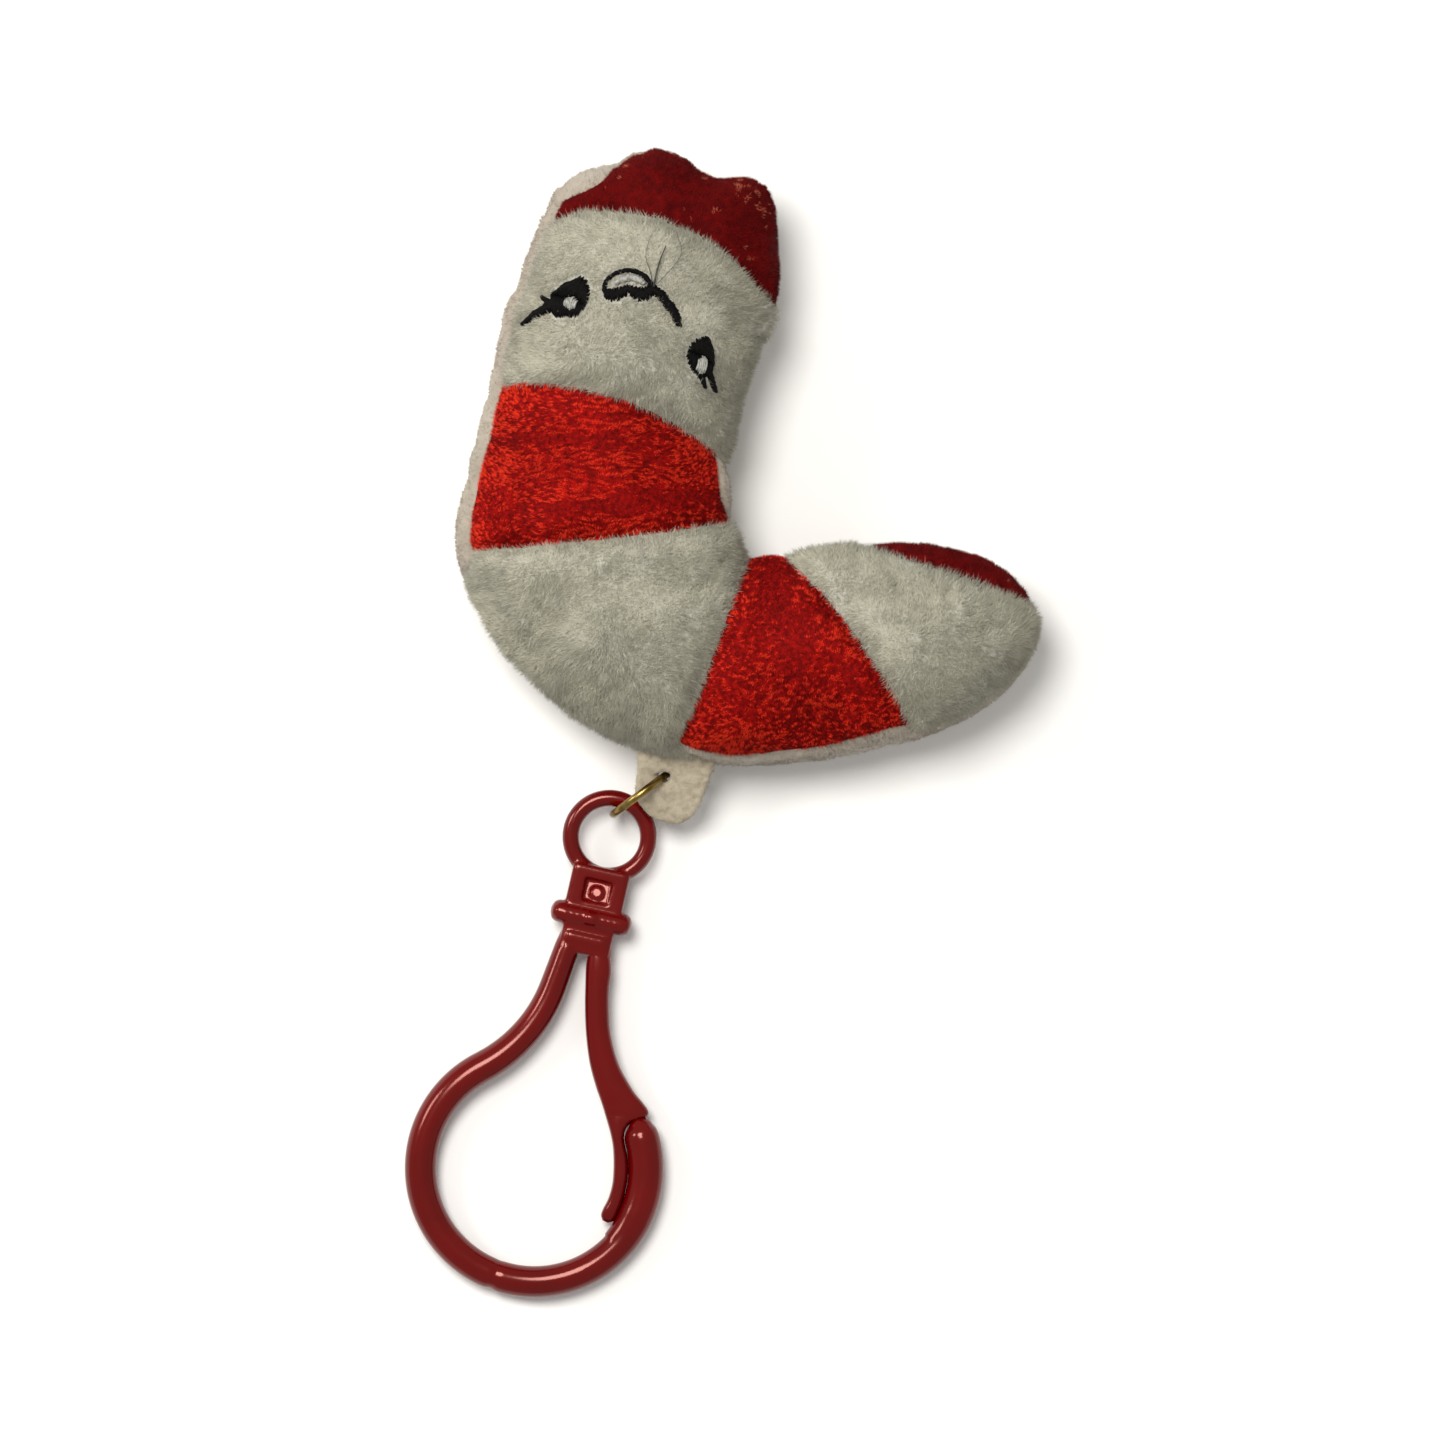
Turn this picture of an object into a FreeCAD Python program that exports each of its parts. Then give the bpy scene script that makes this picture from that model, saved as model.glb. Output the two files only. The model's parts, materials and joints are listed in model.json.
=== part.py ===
import FreeCAD
import Part

import math
import os

# A stuffed sock-shaped plush charm lying on its back: X to its right, Y towards its crown, Z up out of its face.
# A felt tab is sewn into the heel seam, an open jump ring goes through the tab, and a plastic snap hook
# hangs on the ring. Millimetres and degrees. The origin is on the table, under the middle of the charm.

DIMENSIONS = {
    # plush: the leg stands along Y, the foot along X, and the two meet round the crotch
    "leg_half_width": 14.4, "leg_half_depth": 9.0, "leg_lean": 12.0, "leg_top": 61.35,
    "leg_axis_x": -6.5, "leg_axis_y": 55.0, "crown_round": 17.0, "crown_power": 2.4,
    "crotch_x": 4.6, "crotch_y": 18.6, "crotch_reach": 1.2, "crotch_dip": 1.3, "waist_pinch": 1.7,
    "heel_reach": 33.9, "instep_reach": 23.6, "heel_power": 0.9,
    "foot_half_width": 11.3, "foot_half_depth": 8.0, "foot_rise": 7.0,
    "foot_axis_x": 6.0, "foot_axis_y": 6.8, "toe_end": 33.95, "toe_round": 18.9,
    "skin": 1.2, "rest_flat": 0.35, "stitch_height": 0.35,
    "seam_rise_leg": 4.4, "seam_rise_tab": 1.0, "seam_rise_foot": 2.8, "seam_drop": -1.0,
    # cut lines between front panels: middle of the chord, direction along it, half its length, bow to its left
    "cap_line_x": -6.4, "cap_line_y": 48.5, "cap_line_turn": -22.5, "cap_line_half": 12.5, "cap_line_bow": 4.4,
    "neck_top_x": -11.5, "neck_top_y": 31.35, "neck_top_turn": -18.5, "neck_top_half": 13.7,
    "neck_top_bow": 2.9,
    "neck_base_x": -12.25, "neck_base_y": 19.7, "neck_base_turn": 6.6, "neck_base_half": 14.8,
    "neck_base_bow": -0.4,
    "instep_x": -0.95, "instep_y": 7.75, "instep_turn": 69.4, "instep_half": 11.5, "instep_bow": -0.33,
    "ball_x": 13.4, "ball_y": 8.45, "ball_turn": 125.5, "ball_half": 12.2, "ball_bow": -1.1,
    "toe_line_x": 23.75, "toe_line_y": 15.85, "toe_line_turn": -19.9, "toe_line_half": 9.8,
    "toe_line_bow": 0.36,
    # felt tab, in its own plane, with the hole at its origin
    "tab_width": 8.0, "tab_depth": 1.6, "tab_shift": 1.1, "tab_hole_radius": 1.4,
    "tab_root": 5.8, "tab_end": 5.1, "tab_droop": 25.0, "tab_lean": -6.0,
    # open jump ring, standing on edge
    "ring_radius": 3.7, "wire_radius": 0.425, "ring_gap": 9.0, "ring_gap_at": 46.0,
    "ring_x": -8.56, "ring_y": -7.55, "ring_heading": 36.9, "ring_lift": 0.06, "ring_hole_reach": 3.15,
    # snap hook, in its own plane: the eye's centre is its origin and the loop hangs along -Y
    "eye_x": -11.95, "eye_y": -12.2, "hook_lean": -12.8, "hook_tilt": 1.35,
    "eye_radius": 4.15, "eye_wire": 0.9,
    "neck_start": 3.9, "neck_width": 6.3, "neck_depth": 2.6, "shoulder_end": 12.6, "neck_edge": 0.5,
    "bar_at": 8.85, "bar_length": 8.8, "bar_radius": 1.3,
    "pocket_at": 6.0, "pocket_width": 2.8, "pocket_height": 2.3, "pocket_sink": 0.5, "ejector_radius": 0.8,
    "arm_start_x": -1.7, "arm_corner_x": -3.07, "arm_corner_share": 0.9, "arm_wire": 1.35,
    "arm_root": 1.0,
    "loop_at": 36.3, "loop_radius": 12.15, "loop_wire": 1.7, "loop_from": 131.6, "nose_at": 33.0,
    "nose_wire": 1.35, "nose_from": -10.0,
    "gate_gap": 0.4, "gate_start_x": 1.9, "gate_bend_x": 2.95, "gate_bend_y": 21.4, "gate_turn_x": 8.75,
    "gate_turn_y": 32.3, "gate_end": 39.6, "gate_root_wire": 1.3, "gate_tip_wire": 0.75,
    "gate_bend_share": 0.6, "gate_turn_share": 0.45,
}

# Embroidery on the face: middles of stitched strokes, each as start, middle and end, and their widths.
STROKES = {
    "nose_arc": (((-12.4, 45.2), (-9.8, 47.8), (-7.2, 45.9)), 0.45),
    "nose_fill": (((-12.0, 45.2), (-9.6, 44.9), (-7.4, 45.4)), 1.15),
    "nose_crescent": (((-11.4, 46.1), (-9.7, 46.8), (-8.1, 46.2)), 0.6),
    "mouth_stitch": (((-7.1, 45.2), (-5.6, 44.1), (-4.5, 42.2)), 0.75),
    "left_lash": (((-17.3, 44.4), (-19.0, 43.6), (-20.6, 42.3)), 0.45),
    "right_lashes": (((-2.0, 37.0), (-1.5, 36.2), (-0.7, 35.0)), 0.4),
    "loose_threads": (((-7.5, 46.9), (-7.1, 49.0), (-6.0, 51.0)), 0.2),
}
EYES = {"left_eye": (-15.9, 44.7, 1.85, 2.2), "right_eye": (-2.2, 38.7, 1.45, 2.1)}
GLINTS = {"left_eye_glint": (-15.8, 44.7, 0.4, 0.5), "right_eye_glint": (-2.1, 38.4, 0.5, 1.0)}
STITCH_ORDER = ("left_eye_glint", "right_eye_glint", "left_eye", "right_eye", "nose_arc", "nose_fill",
                "nose_crescent", "mouth_stitch", "left_lash", "right_lashes", "loose_threads")

ROUND_STEPS = (86.0, 75.0, 61.0, 45.0, 25.0)      # degrees round a rounded end, from its tip
WAIST_STEPS = ((0.0, 0.0), (1.0 / 3.0, 0.6), (2.0 / 3.0, 1.0))   # how far down the leg, share of the pinch
FAN_STEPS = (0.0, 18.0, 36.0, 54.0, 72.0, 90.0)   # degrees round the crotch, from the leg to the foot
AROUND = 16                                       # control points round each section
CUT_BOTTOM, CUT_HEIGHT = -1, 30                   # the cut lines' blocks reach past the plush above and below
STITCH_BOTTOM, STITCH_HEIGHT = 9, 12              # the strokes' blocks only meet its upper side
TABLE_SIDE, TABLE_DEPTH = 200, 20
SEAM_MARGIN, SEAM_REACH = 0.8, 3.0                # how far the space behind the seam reaches past the plush

doc = FreeCAD.newDocument("plush_charm")
sheet = doc.addObject("Spreadsheet::Sheet", "dims")
for row, (name, value) in enumerate(DIMENSIONS.items(), start=1):
    sheet.set(f"A{row}", name)
    sheet.set(f"B{row}", str(value))
    sheet.setAlias(f"B{row}", name)
doc.recompute()


def dim(name):
    return float(sheet.get(name))


def vec(x, y, z=0.0):
    return FreeCAD.Vector(x, y, z)


def turned(degrees):
    """Unit vector in the table's plane."""
    return vec(math.cos(math.radians(degrees)), math.sin(math.radians(degrees)))


def feature(name, shape):
    obj = doc.addObject("Part::Feature", name)
    obj.Shape = shape
    return obj


def boolean(kind, name, base, tool):
    obj = doc.addObject("Part::" + kind, name)
    obj.Base, obj.Tool = base, tool
    return obj


def fused(name, shapes):
    obj = doc.addObject("Part::MultiFuse", name)
    obj.Shapes = shapes
    return obj


def sketch_on(body, name, plane):
    planes = {origin_feature.Role: origin_feature for origin_feature in body.Origin.OriginFeatures}
    sketch = body.newObject("Sketcher::SketchObject", name)
    sketch.AttachmentSupport = (planes[plane], "")
    sketch.MapMode = "FlatFace"
    return sketch


def add_closed_lines(sketch, corners):
    for start, end in zip(corners, corners[1:] + corners[:1]):
        sketch.addGeometry(Part.LineSegment(start, end))


# ---------------------------------------------------------------- plush body

def leg_axis(y):
    return dim("leg_axis_x") + (y - dim("leg_axis_y")) * math.tan(math.radians(dim("leg_lean")))


def foot_axis(x):
    return dim("foot_axis_y") + (x - dim("foot_axis_x")) * math.tan(math.radians(dim("foot_rise")))


def crown_sections(grow):
    """The rounded top of the leg. Each section is its middle, its direction away from the crotch, its half
    width and its half depth."""
    power = 2.0 / dim("crown_power")
    z = dim("leg_half_depth") - dim("rest_flat")
    for step in ROUND_STEPS:
        along, across = math.sin(math.radians(step)) ** power, math.cos(math.radians(step)) ** power
        y = dim("leg_top") - dim("crown_round") + (dim("crown_round") + grow) * along
        yield (vec(leg_axis(y), y, z), turned(180),
               (dim("leg_half_width") + grow) * across, (dim("leg_half_depth") + grow) * across)


def leg_share(step):
    """How much of the leg's size is left after turning by step round the crotch, from 1 to 0 at the foot."""
    return (1.0 - math.sin(math.radians(step))) ** dim("heel_power")


def body_sections(grow):
    """The even part of the leg, the turn round the crotch, and the even part of the foot."""
    crotch = vec(dim("crotch_x"), dim("crotch_y"))
    shoulder, ball = dim("leg_top") - dim("crown_round"), dim("toe_end") - dim("toe_round")
    leg_z, foot_z = dim("leg_half_depth") - dim("rest_flat"), dim("foot_half_depth") - dim("rest_flat")
    for share, pinch in WAIST_STEPS:
        y = shoulder + (crotch.y - shoulder) * share
        side = pinch * dim("waist_pinch") / 2
        yield (vec(leg_axis(y) - side, y, leg_z), turned(180),
               dim("leg_half_width") - side + grow, dim("leg_half_depth") + grow)
    for step in FAN_STEPS:
        share = leg_share(step)
        near = dim("crotch_reach") + dim("crotch_dip") * share - grow
        far = dim("instep_reach") + (dim("heel_reach") - dim("instep_reach")) * share + grow
        middle = crotch + turned(180 + step) * ((near + far) / 2)
        middle.z = foot_z + (leg_z - foot_z) * share
        yield middle, turned(180 + step), (far - near) / 2, middle.z + dim("rest_flat") + grow
    for x in ((crotch.x + ball) / 2, ball):
        yield vec(x, foot_axis(x), foot_z), turned(270), dim("foot_half_width") + grow, dim("foot_half_depth") + grow


def toe_sections(grow):
    z = dim("foot_half_depth") - dim("rest_flat")
    for step in reversed(ROUND_STEPS):
        along, across = math.sin(math.radians(step)), math.cos(math.radians(step))
        x = dim("toe_end") - dim("toe_round") + (dim("toe_round") + grow) * along
        yield (vec(x, foot_axis(x), z), turned(270),
               (dim("foot_half_width") + grow) * across, (dim("foot_half_depth") + grow) * across)


def plush_solid(grow):
    """One smooth surface with points of the sections as its control points, closed by two small end faces.
    grow moves the whole surface outwards."""
    sections = list(crown_sections(grow)) + list(body_sections(grow)) + list(toe_sections(grow))
    swell = 1.0 / (2.0 / 3.0 + math.cos(2 * math.pi / AROUND) / 3.0)
    poles = []
    for i in range(AROUND):
        across, upwards = swell * math.cos(2 * math.pi * i / AROUND), swell * math.sin(2 * math.pi * i / AROUND)
        poles.append([middle + outwards * (wide * across) + vec(0, 0, deep * upwards)
                      for middle, outwards, wide, deep in sections])
    spans = len(sections) - 3
    surface = Part.BSplineSurface()
    surface.buildFromPolesMultsKnots(
        poles, [1] * (AROUND + 1), [4] + [1] * (spans - 1) + [4],
        [float(i) for i in range(AROUND + 1)], [float(i) for i in range(spans + 1)], True, False, 3, 3)
    ends = [Part.Face(Part.Wire([surface.vIso(float(v)).toShape()])) for v in (0, spans)]
    shell = Part.Shell([surface.toShape()] + ends)
    shell.sewShape()
    return Part.Solid(shell)


def space_behind_seam():
    """The space behind the side seam, which runs higher on the heel side than on the crotch side."""
    reach = SEAM_REACH
    body = list(body_sections(0.0))
    beyond_crown = (body[0][0] + vec(0, dim("crown_round") + reach), *body[0][1:])
    beyond_toe = (body[-1][0] + vec(dim("toe_round") + reach, 0), *body[-1][1:])
    leg, tab_side, foot = dim("seam_rise_leg"), dim("seam_rise_tab"), dim("seam_rise_foot")
    turn = [tab_side + (leg - tab_side) * leg_share(step) for step in FAN_STEPS]
    rises = [leg] * (len(WAIST_STEPS) + 1) + turn + [foot] * (len(body) - len(WAIST_STEPS) - len(turn) + 1)
    wires = []
    for (middle, outwards, wide, deep), rise in zip([beyond_crown] + body + [beyond_toe], rises):
        far, near = middle + outwards * (wide + reach), middle - outwards * (wide + SEAM_MARGIN)
        corners = [vec(far.x, far.y, middle.z + rise), vec(near.x, near.y, middle.z + dim("seam_drop")),
                   vec(near.x, near.y, -reach), vec(far.x, far.y, -reach)]
        wires.append(Part.makePolygon(corners + corners[:1]))
    return Part.makeLoft(wires, True, True)


def upright_block(name, outline, bottom, height):
    base = feature(name + "_outline", Part.Face(outline))
    base.Placement.Base = vec(0, 0, bottom)
    block = doc.addObject("Part::Extrusion", name + "_block")
    block.Base = base
    block.DirMode = "Custom"
    block.Dir = vec(0, 0, 1)
    block.LengthFwd = height
    return block


def beyond_line(name, reach, depth):
    """An upright block on one side of a bowed cut line: its left for a positive depth, its right for a
    negative one. Past the bow's ends the line runs straight on by reach."""
    middle = vec(dim(name + "_x"), dim(name + "_y"))
    along, left = turned(dim(name + "_turn")), turned(dim(name + "_turn") + 90)
    half = dim(name + "_half")
    start, end = middle - along * half, middle + along * half
    bow = Part.Arc(start, middle + left * dim(name + "_bow"), end).toShape()
    before, after = start - along * reach, end + along * reach
    rest = Part.makePolygon([end, after, after + left * depth, before + left * depth, before, start])
    return upright_block(name, Part.Wire([bow] + rest.Edges), CUT_BOTTOM, CUT_HEIGHT)


plush = feature("plush_surface", plush_solid(0.0))
core = feature("core_surface", plush_solid(-dim("skin")))
stitch_surface = feature("stitch_surface", plush_solid(dim("stitch_height")))
behind_seam = feature("behind_seam", space_behind_seam())
under_table = doc.addObject("Part::Box", "under_table")
under_table.Length, under_table.Width, under_table.Height = TABLE_SIDE, TABLE_SIDE, TABLE_DEPTH
under_table.Placement.Base = vec(-TABLE_SIDE / 2, -TABLE_SIDE / 2, -TABLE_DEPTH)


def make_tab():
    """Felt tab: a straight root, a round end, and the ring's hole at its origin."""
    body = doc.addObject("PartDesign::Body", "tab_body")
    outline = sketch_on(body, "tab_outline", "XY_Plane")
    half, mid, root = dim("tab_width") / 2, dim("tab_shift"), dim("tab_root")
    corner = half - dim("tab_end")
    outline.addGeometry(Part.LineSegment(vec(mid - half, root), vec(mid + half, root)))
    outline.addGeometry(Part.LineSegment(vec(mid + half, root), vec(mid + half, corner)))
    outline.addGeometry(Part.Arc(vec(mid + half, corner), vec(mid, -dim("tab_end")), vec(mid - half, corner)))
    outline.addGeometry(Part.LineSegment(vec(mid - half, corner), vec(mid - half, root)))
    pad = body.newObject("PartDesign::Pad", "tab_pad")
    pad.Profile = outline
    pad.setExpression("Length", "dims.tab_depth")
    pad.Midplane = True
    hole = sketch_on(body, "tab_hole", "XY_Plane")
    hole.addGeometry(Part.Circle(vec(0, 0), vec(0, 0, 1), dim("tab_hole_radius")))
    pocket = body.newObject("PartDesign::Pocket", "tab_pocket")
    pocket.Profile = hole
    pocket.setExpression("Length", "dims.tab_depth * 2")
    pocket.Midplane = True
    return body


def ring_centre():
    return vec(dim("ring_x"), dim("ring_y"), dim("ring_lift") + dim("wire_radius") + dim("ring_radius"))


def tab_placement():
    """The hole's centre is where the ring's wire crosses the tab."""
    reach = dim("ring_hole_reach")
    hole = ring_centre() + turned(dim("ring_heading")) * reach
    hole.z += math.sqrt(dim("ring_radius") ** 2 - reach ** 2)
    turn = FreeCAD.Rotation(vec(0, 0, 1), dim("tab_lean")) * FreeCAD.Rotation(vec(1, 0, 0), dim("tab_droop"))
    return FreeCAD.Placement(hole, turn)


tab = make_tab()
tab.Placement = tab_placement()

outer = boolean("Cut", "plush_outer", plush, under_table)
skin = boolean("Cut", "skin", outer, core)
back = boolean("Common", "back_fabric", skin, behind_seam)
front = boolean("Cut", "front_fabric", skin, behind_seam)

cap_block = beyond_line("cap_line", 5, 30)
neck_top_block = beyond_line("neck_top", 4, 60)
neck_base_block = beyond_line("neck_base", 4, 60)
instep_block = beyond_line("instep", 50, -60)
ball_block = beyond_line("ball", 50, -60)
toe_block = beyond_line("toe_line", 4, 20)

head_cap = boolean("Common", "head_cap", front, cap_block)
below_cap = boolean("Cut", "below_cap", front, cap_block)
face_panel = boolean("Common", "face_panel", below_cap, neck_top_block)
below_face = boolean("Cut", "below_face", below_cap, neck_top_block)
neck_band = boolean("Common", "neck_band", below_face, neck_base_block)
below_neck = boolean("Cut", "below_neck", below_face, neck_base_block)
whole_foot = boolean("Common", "whole_foot", below_neck, instep_block)
heel_whole = boolean("Cut", "heel_whole", below_neck, instep_block)
foot_band = boolean("Cut", "foot_band", whole_foot, ball_block)
whole_toe = boolean("Common", "whole_toe", whole_foot, ball_block)
toe_patch = boolean("Common", "toe_patch", whole_toe, toe_block)
toe_panel = boolean("Cut", "toe_panel", whole_toe, toe_block)

heel_panel = boolean("Cut", "heel_panel", heel_whole, tab)
back_panel = boolean("Cut", "back_panel", back, tab)
stuffing = boolean("Cut", "stuffing", core, tab)


# ---------------------------------------------------------------- embroidery

def stroke_outline(points, width):
    """Outline of a bowed stroke with round ends."""
    start, middle, end = (vec(*point) for point in points)
    circle = Part.Arc(start, middle, end).toShape().Curve
    centre, radius = circle.Center, circle.Radius

    def shifted(point, by):
        return centre + (point - centre) * ((radius + by) / radius)

    def cap(point, towards):
        outwards = (point - centre).normalize()
        ahead = vec(-outwards.y, outwards.x)
        if ahead.dot(towards - point) > 0:
            ahead = -ahead
        return point + ahead * (width / 2)

    sides = [[shifted(point, by) for point in (start, middle, end)] for by in (width / 2, -width / 2)]
    edges = [Part.Arc(*sides[0]), Part.Arc(sides[0][2], cap(end, middle), sides[1][2]),
             Part.Arc(*reversed(sides[1])), Part.Arc(sides[1][0], cap(start, middle), sides[0][0])]
    return Part.Wire([edge.toShape() for edge in edges])


def oval_outline(x, y, half_width, half_height):
    oval = Part.Ellipse(vec(x, y + half_height), vec(x + half_width, y), vec(x, y))
    return Part.Wire([oval.toShape()])


stitch_layer = boolean("Cut", "stitch_layer", stitch_surface, plush)
outlines = {name: stroke_outline(*stroke) for name, stroke in STROKES.items()}
outlines.update({name: oval_outline(*oval) for name, oval in {**EYES, **GLINTS}.items()})
stitches = {}
for name in STITCH_ORDER:
    block = upright_block(name, outlines[name], STITCH_BOTTOM, STITCH_HEIGHT)
    piece = boolean("Common", name + "_whole", stitch_layer, block)
    for earlier, other in stitches.items():
        if outlines[name].BoundBox.intersect(outlines[earlier].BoundBox):
            piece = boolean("Cut", f"{name}_without_{earlier}", piece, other)
    stitches[name] = piece


# ---------------------------------------------------------------- jump ring and snap hook

def make_ring():
    """Open ring round its own Z axis. The turn left out ends at the X axis."""
    body = doc.addObject("PartDesign::Body", "ring_body")
    section = sketch_on(body, "ring_section", "XZ_Plane")
    section.addGeometry(Part.Circle(vec(dim("ring_radius"), 0), vec(0, 0, 1), dim("wire_radius")))
    turn = body.newObject("PartDesign::Revolution", "ring_turn")
    turn.Profile = section
    turn.ReferenceAxis = (section, ["V_Axis"])
    turn.setExpression("Angle", "360 - dims.ring_gap")
    return body


def ring_placement():
    """Stands the ring upright along its heading, with its gap at its angle above the heading."""
    heading = turned(dim("ring_heading"))
    upright = FreeCAD.Rotation(heading, vec(0, 0, 1), heading.cross(vec(0, 0, 1)), "XYZ")
    gap_turn = FreeCAD.Rotation(vec(0, 0, 1), dim("ring_gap_at") + dim("ring_gap") / 2)
    return FreeCAD.Placement(ring_centre(), upright * gap_turn)


def hook_placement():
    """The loop's far end lies on the table and the eye is lifted by the ring under it."""
    tilt = dim("hook_tilt")
    lift = dim("loop_wire") + (dim("loop_at") + dim("loop_radius")) * math.sin(math.radians(tilt))
    turn = FreeCAD.Rotation(vec(0, 0, 1), dim("hook_lean")) * FreeCAD.Rotation(vec(1, 0, 0), tilt)
    return FreeCAD.Placement(vec(dim("eye_x"), dim("eye_y"), lift), turn)


def make_neck():
    """Flat block with a shallow pocket round a raised ejector disc."""
    body = doc.addObject("PartDesign::Body", "neck_body")
    half, top, bottom = dim("neck_width") / 2, -dim("neck_start"), -dim("shoulder_end")
    outline = sketch_on(body, "neck_outline", "XY_Plane")
    add_closed_lines(outline, [vec(-half, top), vec(half, top), vec(half, bottom), vec(-half, bottom)])
    pad = body.newObject("PartDesign::Pad", "neck_pad")
    pad.Profile = outline
    pad.setExpression("Length", "dims.neck_depth")
    pad.Midplane = True
    recess = sketch_on(body, "pocket_outline", "XY_Plane")
    recess.AttachmentOffset.Base = vec(0, 0, dim("neck_depth") / 2)
    across, tall, y = dim("pocket_width") / 2, dim("pocket_height") / 2, -dim("pocket_at")
    add_closed_lines(recess, [vec(-across, y - tall), vec(across, y - tall),
                              vec(across, y + tall), vec(-across, y + tall)])
    recess.addGeometry(Part.Circle(vec(0, y), vec(0, 0, 1), dim("ejector_radius")))
    pocket = body.newObject("PartDesign::Pocket", "neck_pocket")
    pocket.Profile = recess
    pocket.setExpression("Length", "dims.pocket_sink")
    return body


def make_bar():
    """Rounded crossbar through the neck block."""
    bar = doc.addObject("Part::Cylinder", "bar_rod")
    bar.setExpression("Radius", "dims.bar_radius")
    bar.setExpression("Height", "dims.bar_length - 2 * dims.bar_radius")
    straight = dim("bar_length") / 2 - dim("bar_radius")
    bar.Placement = FreeCAD.Placement(vec(-straight, -dim("bar_at")), FreeCAD.Rotation(vec(0, 1, 0), 90))
    ends = []
    for side in (-1, 1):
        end = doc.addObject("Part::Sphere", "bar_end")
        end.setExpression("Radius", "dims.bar_radius")
        end.Placement.Base = vec(side * straight, -dim("bar_at"))
        ends.append(end)
    return fused("bar", [bar] + ends)


def rounded_path(points, shares):
    """Straight runs joined by tangent arcs. Each corner's arc takes its share of the shorter run beside it."""
    edges, start = [], points[0]
    for before, corner, after, share in zip(points, points[1:], points[2:], shares):
        length = share * min((corner - before).Length, (after - corner).Length)
        arrive, leave = (corner - before).normalize(), (after - corner).normalize()
        first, last = corner - arrive * length, corner + leave * length
        radius = length / math.tan(arrive.getAngle(leave) / 2)
        centre = corner + (leave - arrive).normalize() * math.hypot(radius, length)
        middle = centre + (corner - centre).normalize() * radius
        edges += [Part.LineSegment(start, first).toShape(), Part.Arc(first, middle, last).toShape()]
        start = last
    return edges + [Part.LineSegment(start, points[-1]).toShape()]


def section_at(name, radius, position, direction):
    circle = doc.addObject("Part::Circle", name)
    circle.setExpression("Radius", "dims." + radius)
    circle.Placement = FreeCAD.Placement(position, FreeCAD.Rotation(vec(0, 0, 1), direction))
    return circle


def swept(name, edges, start_radius, end_radius):
    spine = feature(name + "_spine", Part.Wire(edges))
    ends = []
    for end, edge, at, radius in (("start", edges[0], 0, start_radius), ("end", edges[-1], -1, end_radius)):
        parameter = edge.ParameterRange[at]
        ends.append(section_at(f"{name}_{end}", radius, edge.valueAt(parameter), edge.tangentAt(parameter)))
    sweep = doc.addObject("Part::Sweep", name)
    sweep.Sections = ends
    sweep.Spine = (spine, [f"Edge{i + 1}" for i in range(len(edges))])
    sweep.Solid = True
    return sweep


def loop_point(degrees):
    return vec(0, -dim("loop_at")) + turned(degrees) * dim("loop_radius")


def make_loop():
    """The arm that swings out from the shoulder, the round loop, and the hook's nose at its end."""
    join, along = loop_point(dim("loop_from")), turned(dim("loop_from") + 90)
    corner = join - along * ((join.x - dim("arm_corner_x")) / along.x)
    root = vec(dim("arm_start_x"), -dim("shoulder_end") + dim("arm_root"))
    arm = swept("arm", rounded_path([root, corner, join], [dim("arm_corner_share")]), "arm_wire", "loop_wire")
    first, last = dim("loop_from"), 360 + dim("nose_from")
    stops = [first + (last - first) * quarter / 4 for quarter in range(5)]
    halves = [Part.Arc(*(loop_point(stop) for stop in stops[at:at + 3])).toShape() for at in (0, 2)]
    hoop = swept("hoop", halves, "loop_wire", "loop_wire")
    nose = loop_point(dim("nose_at"))
    bill = Part.Arc(loop_point(last), loop_point((dim("nose_from") + dim("nose_at")) / 2), nose).toShape()
    beak = swept("beak", [bill], "loop_wire", "nose_wire")
    tip = doc.addObject("Part::Sphere", "nose_tip")
    tip.setExpression("Radius", "dims.nose_wire")
    tip.Placement.Base = nose
    return fused("loop_whole", [arm, hoop, beak, tip])


def make_gate():
    """The thin springy arm, whose end rests inside the loop behind the nose."""
    start = -dim("shoulder_end") - dim("gate_gap")
    return swept("gate", rounded_path(
        [vec(dim("gate_start_x"), start), vec(dim("gate_bend_x"), -dim("gate_bend_y")),
         vec(dim("gate_turn_x"), -dim("gate_turn_y")), vec(dim("gate_turn_x"), -dim("gate_end"))],
        [dim("gate_bend_share"), dim("gate_turn_share")]), "gate_root_wire", "gate_tip_wire")


ring = make_ring()
ring.Placement = ring_placement()

clip_eye = doc.addObject("Part::Torus", "clip_eye")
clip_eye.setExpression("Radius1", "dims.eye_radius")
clip_eye.setExpression("Radius2", "dims.eye_wire")
eye_tool = doc.addObject("Part::Torus", "eye_tool")
eye_tool.setExpression("Radius1", "dims.eye_radius")
eye_tool.setExpression("Radius2", "dims.eye_wire")
neck_whole = fused("neck_whole", [make_neck(), make_bar()])
clip_neck = boolean("Cut", "clip_neck", neck_whole, eye_tool)
clip_loop = boolean("Cut", "clip_loop", make_loop(), neck_whole)
clip_gate = make_gate()
for piece in (clip_eye, clip_neck, clip_loop, clip_gate):
    piece.Placement = hook_placement()


# ---------------------------------------------------------------- check and write

NODES = {
    "stuffing": stuffing, "back_panel": back_panel, "head_cap": head_cap, "face_panel": face_panel,
    "neck_band": neck_band, "heel_panel": heel_panel, "foot_band": foot_band, "toe_panel": toe_panel,
    "toe_patch": toe_patch, "hanging_tab": tab, "jump_ring": ring, "clip_eye": clip_eye,
    "clip_neck": clip_neck, "clip_loop": clip_loop, "clip_gate": clip_gate, **stitches,
}

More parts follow.
